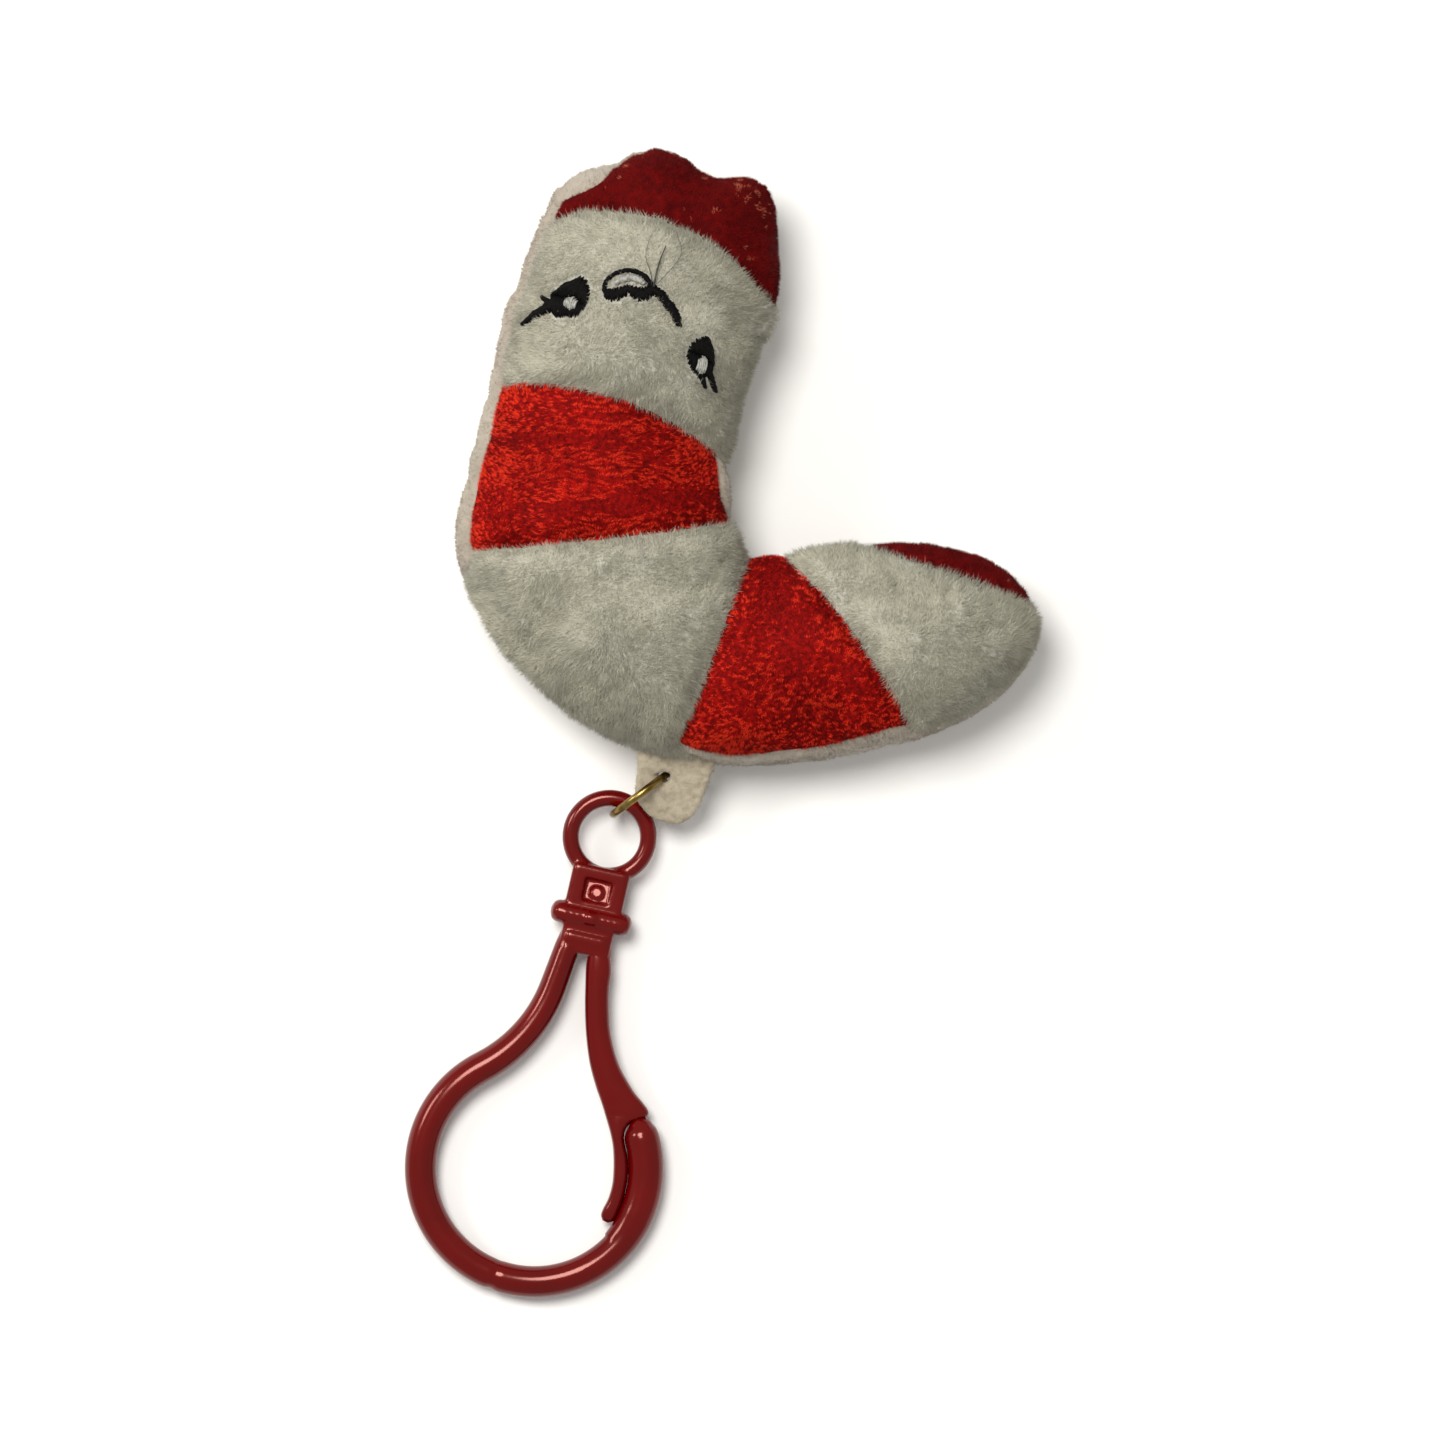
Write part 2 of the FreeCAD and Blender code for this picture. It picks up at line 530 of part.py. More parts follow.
doc.recompute()
for obj in doc.Objects:
    if "Invalid" in obj.State or "Error" in obj.State:
        raise RuntimeError(f"{obj.Label} did not compute")
os.makedirs("parts", exist_ok=True)
for name, obj in NODES.items():
    if obj.Shape.isNull() or not obj.Shape.isValid() or not obj.Shape.Solids:
        raise RuntimeError(f"{name} has no valid solid")
for name, obj in NODES.items():
    obj.Label = name
    obj.Shape.exportStep(f"parts/{name}.step")
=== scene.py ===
import json
import math

import bmesh
import bpy
import numpy as np
from mathutils import Matrix, Vector, noise
from mathutils.bvhtree import BVHTree
from mathutils.kdtree import KDTree


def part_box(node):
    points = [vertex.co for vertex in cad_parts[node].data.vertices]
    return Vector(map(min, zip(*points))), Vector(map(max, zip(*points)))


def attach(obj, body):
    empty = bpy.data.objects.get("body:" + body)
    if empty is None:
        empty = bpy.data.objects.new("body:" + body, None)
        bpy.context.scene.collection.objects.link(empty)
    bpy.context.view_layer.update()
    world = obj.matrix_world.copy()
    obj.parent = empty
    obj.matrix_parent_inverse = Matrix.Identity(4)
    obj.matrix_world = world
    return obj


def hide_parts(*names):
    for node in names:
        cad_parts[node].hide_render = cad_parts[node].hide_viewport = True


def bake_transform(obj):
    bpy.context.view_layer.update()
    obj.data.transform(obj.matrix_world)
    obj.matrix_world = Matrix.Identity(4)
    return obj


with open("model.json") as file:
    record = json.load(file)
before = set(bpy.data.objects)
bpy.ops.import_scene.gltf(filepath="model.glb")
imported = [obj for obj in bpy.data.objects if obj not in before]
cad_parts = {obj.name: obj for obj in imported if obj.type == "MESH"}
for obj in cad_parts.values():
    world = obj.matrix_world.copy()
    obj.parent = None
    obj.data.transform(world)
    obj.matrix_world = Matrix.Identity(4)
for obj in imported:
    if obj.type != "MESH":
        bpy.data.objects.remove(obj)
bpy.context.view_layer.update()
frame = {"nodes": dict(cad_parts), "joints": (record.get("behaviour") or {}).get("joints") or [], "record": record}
nodes = frame["nodes"]
MM = 0.001

view = bpy.context.scene.view_settings
view.view_transform, view.look = "Standard", "None"


# ---------------- helpers

def link(ob):
    bpy.context.scene.collection.objects.link(ob)
    return ob


def mesh_of(name, verts, faces):
    """New mesh from an (n, 3) array and an (m, 3 or 4) array, or a list of faces."""
    me = bpy.data.meshes.new(name)
    if isinstance(faces, np.ndarray):
        n, k = faces.shape
        me.vertices.add(len(verts))
        me.vertices.foreach_set("co", np.ascontiguousarray(verts, np.float32).ravel())
        me.loops.add(n * k)
        me.loops.foreach_set("vertex_index", np.ascontiguousarray(faces, np.int32).ravel())
        me.polygons.add(n)
        me.polygons.foreach_set("loop_start", np.arange(0, n * k, k, dtype=np.int32))
        me.update(calc_edges=True)
    else:
        me.from_pydata([tuple(v) for v in verts], [], faces)
    me.validate()
    me.update()
    return me


def read(items, attribute):
    """An (n, 3) array of an attribute of a mesh's vertices or faces."""
    out = np.zeros(len(items) * 3, np.float32)
    items.foreach_get(attribute, out)
    return out.reshape(-1, 3).astype(float)


def points_of(me):
    return read(me.vertices, "co")


def normals_of(me):
    return read(me.vertices, "normal")


def set_points(me, co):
    me.vertices.foreach_set("co", np.ascontiguousarray(co, np.float32).ravel())
    me.update()


def smooth(me):
    me.polygons.foreach_set("use_smooth", np.ones(len(me.polygons), bool))
    me.update()
    return me


def evaluated(ob):
    """The object's mesh with its modifiers, as a new mesh."""
    bpy.context.view_layer.update()
    return bpy.data.meshes.new_from_object(ob.evaluated_get(bpy.context.evaluated_depsgraph_get()))


def set_all(target, **values):
    for name, value in values.items():
        setattr(target, name, value)


def set_inputs(node, values):
    for name, value in values.items():
        node.inputs[name].default_value = value


def with_modifier(me, kind, **settings):
    ob = link(bpy.data.objects.new("work", me))
    set_all(ob.modifiers.new(kind, kind), **settings)
    out = evaluated(ob)
    bpy.data.objects.remove(ob)
    return out


def joined(names):
    bm = bmesh.new()
    for name in names:
        bm.from_mesh(nodes[name].data)
    return bm


def remeshed(bm, voxel, rounds):
    """One closed surface round the given solids, smoothed a little."""
    me = bpy.data.meshes.new("solids")
    bm.to_mesh(me)
    bm.free()
    me = with_modifier(me, "REMESH", mode="VOXEL", voxel_size=voxel)
    return with_modifier(me, "SMOOTH", factor=0.5, iterations=rounds)


def noise_at(co, scale, seed):
    """Smooth noise from about -1 to 1 at each point; scale is its size in metres, one number or three."""
    s = 1.0 / np.broadcast_to(np.asarray(scale, float), (3,))
    off = Vector((seed * 7.31, seed * 3.17, seed * 5.93))
    return np.array([noise.noise(Vector(p) + off) for p in co * s])


def fall(d, width):
    return np.exp(-(d / width) ** 2)


def unit(v):
    return v / np.maximum(np.linalg.norm(v, axis=-1, keepdims=True), 1e-12)


def catmull(rows, steps):
    """Smooth rows of numbers through the given rows, with steps points to each span."""
    rows = np.asarray(rows, float)
    padded = np.vstack([2 * rows[0] - rows[1], rows, 2 * rows[-1] - rows[-2]])
    out = []
    for i in range(1, len(padded) - 2):
        a, b, c, d = padded[i - 1:i + 3]
        for t in np.arange(steps) / steps:
            out.append(0.5 * (2 * b + (c - a) * t + (2 * a - 5 * b + 4 * c - d) * t ** 2
                              + (3 * b - a - 3 * c + d) * t ** 3))
    return np.array(out + [rows[-1]])


def ring_faces(count, sides, start=0):
    """The sides and the two ends of a closed tube of count rings of points, the first point being start."""
    faces = [(start + i * sides + j, start + i * sides + (j + 1) % sides,
              start + (i + 1) * sides + (j + 1) % sides, start + (i + 1) * sides + j)
             for i in range(count - 1) for j in range(sides)]
    last = start + (count - 1) * sides
    return faces + [tuple(range(start + sides - 1, start - 1, -1)), tuple(range(last, last + sides))]


def section(sides, power=2.0):
    """Points round a circle, or round a squarer outline with a higher power."""
    angle = np.arange(sides) * 2 * math.pi / sides
    ca, sa = np.cos(angle), np.sin(angle)
    return np.sign(ca) * np.abs(ca) ** (2 / power), np.sign(sa) * np.abs(sa) ** (2 / power)


def tube(path, wide, tall=None, sides=8, up=(0, 0, 1), start=0):
    """A closed tube along path: vertices and faces. wide and tall are its half sizes at each point."""
    path = np.asarray(path, float)
    wide = np.broadcast_to(np.asarray(wide, float), (len(path),))
    tall = wide if tall is None else np.broadcast_to(np.asarray(tall, float), (len(path),))
    along = unit(np.gradient(path, axis=0))
    across = unit(np.cross(along, np.asarray(up, float)))
    over = unit(np.cross(across, along))
    cx, sx = section(sides)
    rings = (path[:, None] + across[:, None] * (wide[:, None, None] * cx[None, :, None])
             + over[:, None] * (tall[:, None, None] * sx[None, :, None]))
    return rings.reshape(-1, 3), ring_faces(len(path), sides, start)


def centre_of(name):
    low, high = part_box(name)
    return (np.array(low) + np.array(high)) / 2


# ---------------- materials

SHEEN_ROUGHNESS = 0.4
BUMP_DETAIL, BUMP_STRENGTH = 4.0, 0.6
FIBRE_ROUGHNESS = 0.6


def material(name):
    m = bpy.data.materials.new(name)
    m.use_nodes = True
    return m, m.node_tree, m.node_tree.nodes["Principled BSDF"]


def noise_output(tree, scale, detail):
    """Noise in the object's own coordinates; scale is its size in metres."""
    node = tree.nodes.new("ShaderNodeTexNoise")
    set_inputs(node, {"Scale": 1.0 / scale, "Detail": detail})
    place = tree.nodes.new("ShaderNodeTexCoord").outputs["Object"]
    tree.links.new(place, node.inputs["Vector"])
    return node.outputs["Fac"]


def mixed_material(name, dark, light, scale, rough, detail=6.0, sheen=0.0, sheen_tint=(1, 1, 1),
                   bump=0.0, bump_scale=None, low=0.35, high=0.65, specular=0.5):
    """Two colours mixed by noise, with bump from a finer noise.

    scale and bump_scale are the noises' sizes in metres, and low and high the noise's values at
    which the colour is all dark and all light.
    """
    m, tree, shader = material(name)
    ramp = tree.nodes.new("ShaderNodeValToRGB")
    ramp.color_ramp.elements[0].position, ramp.color_ramp.elements[1].position = low, high
    ramp.color_ramp.elements[0].color = (*dark, 1)
    ramp.color_ramp.elements[1].color = (*light, 1)
    tree.links.new(noise_output(tree, scale, detail), ramp.inputs["Fac"])
    tree.links.new(ramp.outputs["Color"], shader.inputs["Base Color"])
    set_inputs(shader, {"Roughness": rough, "Specular IOR Level": specular, "Sheen Weight": sheen,
                        "Sheen Roughness": SHEEN_ROUGHNESS, "Sheen Tint": (*sheen_tint, 1)})
    if bump:
        node = tree.nodes.new("ShaderNodeBump")
        set_inputs(node, {"Strength": BUMP_STRENGTH, "Distance": bump})
        tree.links.new(noise_output(tree, bump_scale, BUMP_DETAIL), node.inputs["Height"])
        tree.links.new(node.outputs["Normal"], shader.inputs["Normal"])
    return m


def fibre_material(name, colour, sheen, specular):
    """One tone of fibre. The pile gets its variation from fibres of several tones."""
    m, _, shader = material(name)
    set_inputs(shader, {"Base Color": (*colour, 1), "Roughness": FIBRE_ROUGHNESS,
                        "Specular IOR Level": specular, "Sheen Weight": sheen})
    return m


def piece(name, me, mat, body, node_names=()):
    ob = link(bpy.data.objects.new(name, me))
    me.materials.clear()
    me.materials.append(mat)
    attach(ob, body)
    if node_names:
        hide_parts(*node_names)
    return ob


# ---------------- plush body

PANELS = {  # CAD node: material slot
    "back_panel": "back_fabric", "head_cap": "dark_red_pile", "face_panel": "white_pile",
    "neck_band": "red_knit", "heel_panel": "white_pile", "foot_band": "red_knit",
    "toe_panel": "white_pile", "toe_patch": "dark_red_pile"}
NAMES = list(PANELS)
SIM_SCALE = 20.0            # the cloth solver works best on an object about a metre long
FLOOR_GAP = 0.02 * MM
PRESSURE, STIFFNESS, SHEAR, BENDING, SHRINK, DAMPING = 5.0, 12.0, 6.0, 0.4, -0.035, 2.0
SIM_FRAMES = 18
MOST_MOVED = 0.9 * MM       # how far a point may move in the simulation
BODY_VOXEL = 0.6 * MM
SKIN = 0.8 * MM             # the cloth's thickness
SLACK, SEAM_SINK, SINK_WIDTH = 0.05 * MM, 0.35 * MM, 1.2 * MM   # how far in the cloth starts, and at seams
PIN_WIDTH = 0.45 * MM       # held this far from a seam
LYING, HALF_HELD = 0.4 * MM, 0.6    # below this height the cloth lies on the table and is half held
BORDER_ROUNDS, LABEL_ROUNDS = 12, 4
TAB_SLOT = 1.0 * MM         # how far above the heel's lower edge the tab's slot is closed


def subdivided(me):
    return with_modifier(me, "SUBSURF", levels=1)


def face_centres(me):
    return read(me.polygons, "center")


def tree_of(name):
    me = nodes[name].data
    return BVHTree.FromPolygons([tuple(v.co) for v in me.vertices], [tuple(p.vertices) for p in me.polygons])


def labels_of(me):
    """For each face, the number of the CAD panel whose surface is nearest."""
    trees = [tree_of(name) for name in NAMES]
    boxes = [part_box(name) for name in NAMES]
    low = np.array([b[0] for b in boxes]) - MM
    high = np.array([b[1] for b in boxes]) + MM
    out = np.zeros(len(me.polygons), int)
    for i, c in enumerate(face_centres(me)):
        best = 1.0
        for k in np.nonzero(np.all((c >= low) & (c <= high), axis=1))[0]:
            d = trees[k].find_nearest(c, best)[3]
            if d is not None and d < best:
                best, out[i] = d, k
    return out


def faces_beside(me):
    """The two faces of each edge, by the edge's vertices."""
    beside = {}
    for p in me.polygons:
        for e in p.edge_keys:
            beside.setdefault(e, []).append(p.index)
    return {e: pair for e, pair in beside.items() if len(pair) == 2}


def border_edges(me, labels):
    """Edges between two panels: their vertices and the two panels' numbers."""
    return [(e, labels[a], labels[b]) for e, (a, b) in faces_beside(me).items() if labels[a] != labels[b]]


def tree_round(points):
    tree = KDTree(len(points))
    for i, p in enumerate(points):
        tree.insert(p, i)
    tree.balance()
    return tree


def distances(co, points):
    """How far each of co is from the nearest of points, and which of them that is."""
    tree = tree_round(points)
    hits = [tree.find(p) for p in co]
    return np.array([h[2] for h in hits]), np.array([h[1] for h in hits])


def inflated(me, pinned):
    """Cloth under pressure, held at the seams. Gives back the moved points."""
    big = me.copy()
    set_points(big, points_of(me) * SIM_SCALE)
    ob = link(bpy.data.objects.new("inflating", big))
    group = ob.vertex_groups.new(name="pins")
    for i in np.nonzero(pinned > 0.02)[0]:
        group.add([int(i)], float(pinned[i]), "REPLACE")
    cloth = ob.modifiers.new("cloth", "CLOTH")
    set_all(cloth.settings, quality=4, vertex_group_mass="pins", pin_stiffness=1.0, use_pressure=True,
            uniform_pressure_force=PRESSURE, tension_stiffness=STIFFNESS, compression_stiffness=STIFFNESS,
            shear_stiffness=SHEAR, bending_stiffness=BENDING, shrink_min=SHRINK, air_damping=DAMPING)
    cloth.settings.effector_weights.gravity = 0.0
    cloth.collision_settings.use_collision = False
    for f in range(1, SIM_FRAMES + 1):
        bpy.context.scene.frame_set(f)
    out = points_of(evaluated(ob)) / SIM_SCALE
    bpy.data.objects.remove(ob)
    bpy.context.scene.frame_set(1)
    return out


solids = joined(NAMES + ["stuffing"])
slot_filler = joined(["hanging_tab"])   # the slot that the tab is sewn into is closed by the tab's own root
for v in slot_filler.verts:
    v.co.y = max(v.co.y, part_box("heel_panel")[0][1] + TAB_SLOT)
filler_mesh = bpy.data.meshes.new("slot_filler")
slot_filler.to_mesh(filler_mesh)
slot_filler.free()
solids.from_mesh(filler_mesh)
base = remeshed(solids, BODY_VOXEL, 4)
rest = points_of(base)
coarse = border_edges(base, labels_of(base))
seam_points = rest[sorted({v for e, _, _ in coarse for v in e})]
d_seam, _ = distances(rest, seam_points)
# the cloth starts a little slack, more so at the seams, and is blown up from there
moved = rest - normals_of(base) * (SLACK + SEAM_SINK * fall(d_seam, SINK_WIDTH))[:, None]
moved_base = base.copy()
set_points(moved_base, moved)
pinned = np.where(d_seam < PIN_WIDTH, 1.0, 0.0)
pinned[rest[:, 2] < LYING] = HALF_HELD
step = inflated(moved_base, pinned) - moved
far = np.linalg.norm(step, axis=1, keepdims=True)
set_points(moved_base, moved + step * np.minimum(1.0, MOST_MOVED / np.maximum(far, 1e-9)))
body = subdivided(moved_base)
co = points_of(body)
labels = labels_of(subdivided(base))

# the gathered crown: (angle in degrees, how far the outline lies from the crown's middle in mm)
CROWN = [(-9, 14.6), (10, 15.6), (26, 16.95), (37, 18.6), (43, 19.0), (48, 18.7), (56, 16.8), (61, 16.2),
         (66, 16.35), (74, 17.1), (80, 17.3), (86, 17.4), (92, 17.0), (97, 16.3), (105, 16.0),
         (113, 16.2), (120, 16.0), (126, 15.4), (133, 14.5), (139, 14.0), (144, 13.6), (150, 13.3),
         (162, 13.1), (174, 13.3)]
CROWN_MIDDLE = (14.95 * MM, 17.4 * MM)  # from the cap's high X and high Y
CROWN_MARGIN = 0.35 * MM                # left for the pile
CROWN_LIMITS = (0.86, 1.08)             # the least and the most that the outline may be scaled by
CROWN_ENDS = (-12, 172)                 # degrees between which the outline is CROWN's
TUCKS = [(61, 0.35, 6), (96, 0.25, 5), (44, -0.2, 8), (80, -0.2, 8)]    # angle, depth in mm and half width
cap_low, cap_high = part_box("head_cap")
middle = np.array([cap_high[0] - CROWN_MIDDLE[0], cap_high[1] - CROWN_MIDDLE[1]])
polar = co[:, :2] - middle
angle = np.degrees(np.arctan2(polar[:, 1], polar[:, 0]))
reach = np.linalg.norm(polar, axis=1)
bins = np.arange(-20, 182, 3)
edge = np.array([reach[np.abs(angle - b) < 2].max() for b in bins])
want = np.interp(bins, [a for a, _ in CROWN], [r * MM - CROWN_MARGIN for _, r in CROWN])
kept = (bins < CROWN_ENDS[0]) | (bins > CROWN_ENDS[1])
want[kept] = edge[kept]
share = np.clip(want / edge, *CROWN_LIMITS)
inside = (angle > CROWN_ENDS[0] - 6) & (angle < CROWN_ENDS[1] + 6)
factor = np.where(inside, np.interp(angle, bins, share), 1.0)
weight = np.clip(reach / np.interp(angle, bins, edge), 0, 1) ** 3
co[:, :2] = middle + polar * (1 + (factor - 1) * weight)[:, None]
tuck = sum(depth * fall(angle - at, width) for at, depth, width in TUCKS)
co -= normals_of(body) * (tuck * MM * np.clip(weight * 1.4 - 0.4, 0, 1) * (co[:, 1] > middle[1]))[:, None]
co[:, 2] = np.maximum(co[:, 2], FLOOR_GAP)
set_points(body, co)

# where the cream back fabric shows from the front: beyond the cap's edge, to the right of the neck band
# and below the foot band, each as a line from the corner of the panel's box that is named here
CAP_EDGE = np.array([(-0.6, -9.6), (0.33, -7.9), (1.39, -6.0), (4.48, -4.9), (6.07, -3.7), (7.35, -2.0),
                     (8.84, -0.9), (10.4, 0.2)]) * MM       # X and Y from the low X and high Y
# Y and X from the low Y and high X, then X and Y from the low X and low Y
BAND_EDGE = np.array([(3.2, -0.45), (5.6, -1.52), (10.5, -2.16), (12.3, -3.87), (14.0, -6.0)]) * MM
FOOT_EDGE = np.array([(0.6, 2.3), (3.2, 1.5), (5.9, 1.2), (10.0, 1.35), (15.3, 2.0), (24.2, 4.2)]) * MM
band_low, band_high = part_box("neck_band")
foot_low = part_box("foot_band")[0]
BACK, CAP, BAND, HEEL, FOOT = (NAMES.index(name) for name in
                               ("back_panel", "head_cap", "neck_band", "heel_panel", "foot_band"))
centres = face_centres(body)
cap_x, cap_y = centres[:, 0] - cap_low[0], centres[:, 1] - cap_high[1]
beyond_cap = (cap_y > np.interp(cap_x, *CAP_EDGE.T)) & (cap_x < CAP_EDGE[-1, 0]) & (labels == CAP)
up_band, across_band = centres[:, 1] - band_low[1], centres[:, 0] - band_high[0]
beyond_band = ((across_band > np.interp(up_band, *BAND_EDGE.T)) & (up_band > BAND_EDGE[0, 0])
               & (up_band < BAND_EDGE[-1, 0]) & (labels == BAND))
foot_x, foot_y = centres[:, 0] - foot_low[0], centres[:, 1] - foot_low[1]
below_foot = (foot_y < np.interp(foot_x, *FOOT_EDGE.T)) & (labels == FOOT)
labels[beyond_cap | beyond_band | below_foot] = BACK

# the cap and the heel reach round the plush's edge as far as can be seen from the front
CAP_FROM = 16                       # degrees round the crown's middle
HEEL_FROM = 2 * MM                  # below the neck band
UNDER_CUT = -0.15                   # how far under the edge they reach, as the normal's height
EDGE_REACH = 3 * MM                 # and how far from the panel
up_normal = np.array([p.normal.z for p in body.polygons])
fronts = np.nonzero(labels != BACK)[0]
front_tree = tree_round(centres[fronts])
front_labels = labels[fronts]
for i in np.nonzero((labels == BACK) & (up_normal > UNDER_CUT))[0]:
    _, nearest, far_off = front_tree.find(centres[i])
    if far_off > EDGE_REACH:
        continue
    panel = front_labels[nearest]
    sector = math.degrees(math.atan2(centres[i, 1] - middle[1], centres[i, 0] - middle[0]))
    if ((panel == CAP and sector > CAP_FROM and cap_x[i] > CAP_EDGE[-1, 0])
            or (panel == HEEL and centres[i, 1] < band_low[1] - HEEL_FROM)):
        labels[i] = panel
neighbours = [[] for _ in body.polygons]
for a, b in faces_beside(body).values():
    neighbours[a].append(b)
    neighbours[b].append(a)
labels = labels.tolist()
for _ in range(LABEL_ROUNDS):       # a face that stands out from most of its neighbours takes their panel
    for i, others in enumerate(neighbours):
        around = [labels[j] for j in others]
        most = max(around, key=around.count)
        if around.count(most) >= 3:
            labels[i] = most

# smooth the borders between panels
edges = border_edges(body, labels)
beside = {}
for (a, b), _, _ in edges:
    beside.setdefault(a, []).append(b)
    beside.setdefault(b, []).append(a)
line = np.array([v for v, n in beside.items() if len(n) == 2])
ends = np.array([beside[v] for v in line])
for _ in range(BORDER_ROUNDS):
    co[line] = 0.5 * co[line] + 0.25 * (co[ends[:, 0]] + co[ends[:, 1]])
set_points(body, co)

side = sorted({v for e, a, b in edges if BACK in (a, b) for v in e})
front = sorted({v for e, a, b in edges if BACK not in (a, b) for v in e})
d_side, _ = distances(co, co[side])
d_front, near_front = distances(co, co[front])
n = normals_of(body)
# in mm: lumps of stuffing as (size, height), then for the ruffle along the side seam and for the grooves of
# the side seam and of the front's seams their (width, height)
LUMPS = [(7, 0.20), (2.6, 0.08), (0.9, 0.03)]
RUFFLE, SIDE_GROOVE, FRONT_GROOVE = (2.2, 0.07), (0.7, 0.25), (0.6, 0.22)
lump = sum(noise_at(co, size * MM, seed) * height * MM for seed, (size, height) in enumerate(LUMPS, 1))
lump += noise_at(co, 1.5 * MM, 4) * fall(d_side, RUFFLE[0] * MM) * RUFFLE[1] * MM
for far, (width, depth) in ((d_side, SIDE_GROOVE), (d_front, FRONT_GROOVE)):
    lump -= fall(far, width * MM) * depth * MM
co += n * lump[:, None]
co[:, 2] = np.maximum(co[:, 2], FLOOR_GAP)
set_points(body, co)
n = normals_of(body)

panel_faces = {k: [] for k in range(len(NAMES))}
for p in body.polygons:
    panel_faces[labels[p.index]].append(tuple(p.vertices))


def part_of(faces):
    used = sorted({v for f in faces for v in f})
    new = {v: i for i, v in enumerate(used)}
    return np.array(used), [tuple(new[v] for v in f) for f in faces]


PANEL_LOOK = {
    "white_pile": mixed_material("white_ground", (0.355, 0.345, 0.295), (0.46, 0.45, 0.395), 1.4 * MM, 0.9,
                                 sheen=0.3, bump=0.12 * MM, bump_scale=0.25 * MM),
    "back_fabric": mixed_material("back_ground", (0.34, 0.29, 0.235), (0.41, 0.36, 0.295), 3 * MM, 0.9,
                                  sheen=0.2, bump=0.12 * MM, bump_scale=0.25 * MM),
    "red_knit": mixed_material("red_ground", (0.14, 0.0, 0.0), (0.34, 0.003, 0.0015), 0.5 * MM, 0.8,
                               specular=0.1, bump=0.1 * MM, bump_scale=0.25 * MM),
    "dark_red_pile": mixed_material("dark_red_ground", (0.06, 0.0, 0.0005), (0.13, 0.001, 0.001), 1.0 * MM,
                                    0.9, specular=0.1, bump=0.1 * MM, bump_scale=0.25 * MM),
}
for k, name in enumerate(NAMES):
    used, faces = part_of(panel_faces[k])
    shell = smooth(mesh_of(name + "_cloth", co[used], faces))
    shell = smooth(with_modifier(shell, "SOLIDIFY", thickness=SKIN, offset=-1.0, use_rim=True))
    ob = piece(name + "_cloth", shell, PANEL_LOOK[PANELS[name]], "plush",
               [name] + (["stuffing"] if name == "back_panel" else []))


# ---------------- embroidery

face_tree = BVHTree.FromPolygons([tuple(v) for v in co], panel_faces[NAMES.index("face_panel")])


def on_face(x, y):
    """Place and normal on the face cloth under a point given in the row frame."""
    hit, normal, _, _ = face_tree.ray_cast(Vector((x, y, 0.05)), Vector((0, 0, -1)))
    if hit is None:
        hit, normal, _, _ = face_tree.find_nearest(Vector((x, y, 0.016)))
    return np.array(hit), np.array(normal if normal.z > 0 else -normal)


# Each stroke: its CAD node, its colour, the angle of its threads to its line, then its line as
# (x, y, half width) in mm from the middle of the node's box.
STROKES = [
    ("nose_arc", "black", 35, [(-2.45, -1.3, .28), (-2.35, -0.3, .2), (-1.5, 0.6, .18), (0.1, 1.05, .18),
                               (1.6, 0.5, .2), (2.5, -0.6, .25), (2.8, -1.2, .3)]),
    ("nose_fill", "black", 80, [(-2.4, 0.05, .6), (-1.6, -0.15, .75), (-0.8, 0.1, .62), (-0.1, 0.5, .45),
                                (0.6, 0.15, .62), (1.4, -0.15, .75), (2.3, 0.25, .6)]),
    ("nose_crescent", "pale", 80, [(-1.4, -0.2, .25), (-0.6, 0.2, .4), (0.2, 0.35, .4), (1.0, 0.1, .35),
                                   (1.6, -0.3, .2)]),
    ("mouth_stitch", "black", 55, [(-1.7, 2.0, .45), (-0.7, 1.35, .5), (0.25, 0.1, .52), (0.8, -0.8, .48),
                                   (1.15, -1.9, .28)]),
    ("left_lash", "black", 50, [(1.8, 0.8, .62), (0.8, 0.35, .55), (-0.5, -0.4, .38), (-1.7, -1.25, .12)]),
    ("left_lash", "black", 50, [(1.4, 0.7, .35), (0.8, 1.2, .25), (0.45, 1.45, .12)]),
    ("right_lashes", "black", 55, [(-0.2, 1.3, .28), (0.15, 0.3, .26), (0.5, -0.9, .14)]),
    ("right_lashes", "black", 55, [(-0.95, 1.1, .22), (-0.75, 0.2, .2), (-0.6, -0.5, .1)]),
]
# Each filled shape: its CAD node, the direction of its threads and its outline, the same way.
FILLS = [
    ("left_eye", 62, [(0.12, 1.87), (1.1, 2.15), (1.77, 1.46), (1.91, 0.44), (1.77, -0.6), (1.16, -1.4),
                      (0.5, -1.95), (-0.4, -1.95), (-1.7, -1.85), (-2.05, -0.94), (-1.76, 0.44),
                      (-0.9, 1.29)]),
    ("right_eye", 75, [(-0.55, 1.55), (0.25, 1.8), (0.95, 1.55), (1.2, 0.8), (1.25, -0.1), (1.22, -1.1),
                       (0.9, -1.7), (0.45, -2.1), (-0.3, -2.2), (-1.0, -1.3), (-1.45, -0.2), (-1.3, 0.7)]),
]
# Each glint: its CAD node, its middle's X and Y, half width and half length in mm, its threads' direction.
GLINTS = [("left_eye_glint", 0.1, -0.65, 0.5, 0.85, 75), ("right_eye_glint", -0.1, -0.75, 0.48, 1.15, 78)]
THREAD = 0.14 * MM          # a thread's half width
STEP = 0.17 * MM            # from one stitch to the next
GLINT_STEP = 0.2            # mm
OVERLAP = 0.12 * MM         # of the two stitches that cross a filled shape
AHEAD, WOBBLE = 0.2 * MM, 6         # how far ahead a line's direction is taken, degrees
STROKE_CLEAR, FILL_CLEAR = 0.05 * MM, 0.3 * MM      # what the pile leaves free beside stitches
RISE, GLINT_RISE, SUNK = 0.5 * MM, 0.72 * MM, 0.08 * MM    # how high stitches stand, how deep their ends go
stitched = []               # middles and reaches of what is stitched, for the pile to keep clear of


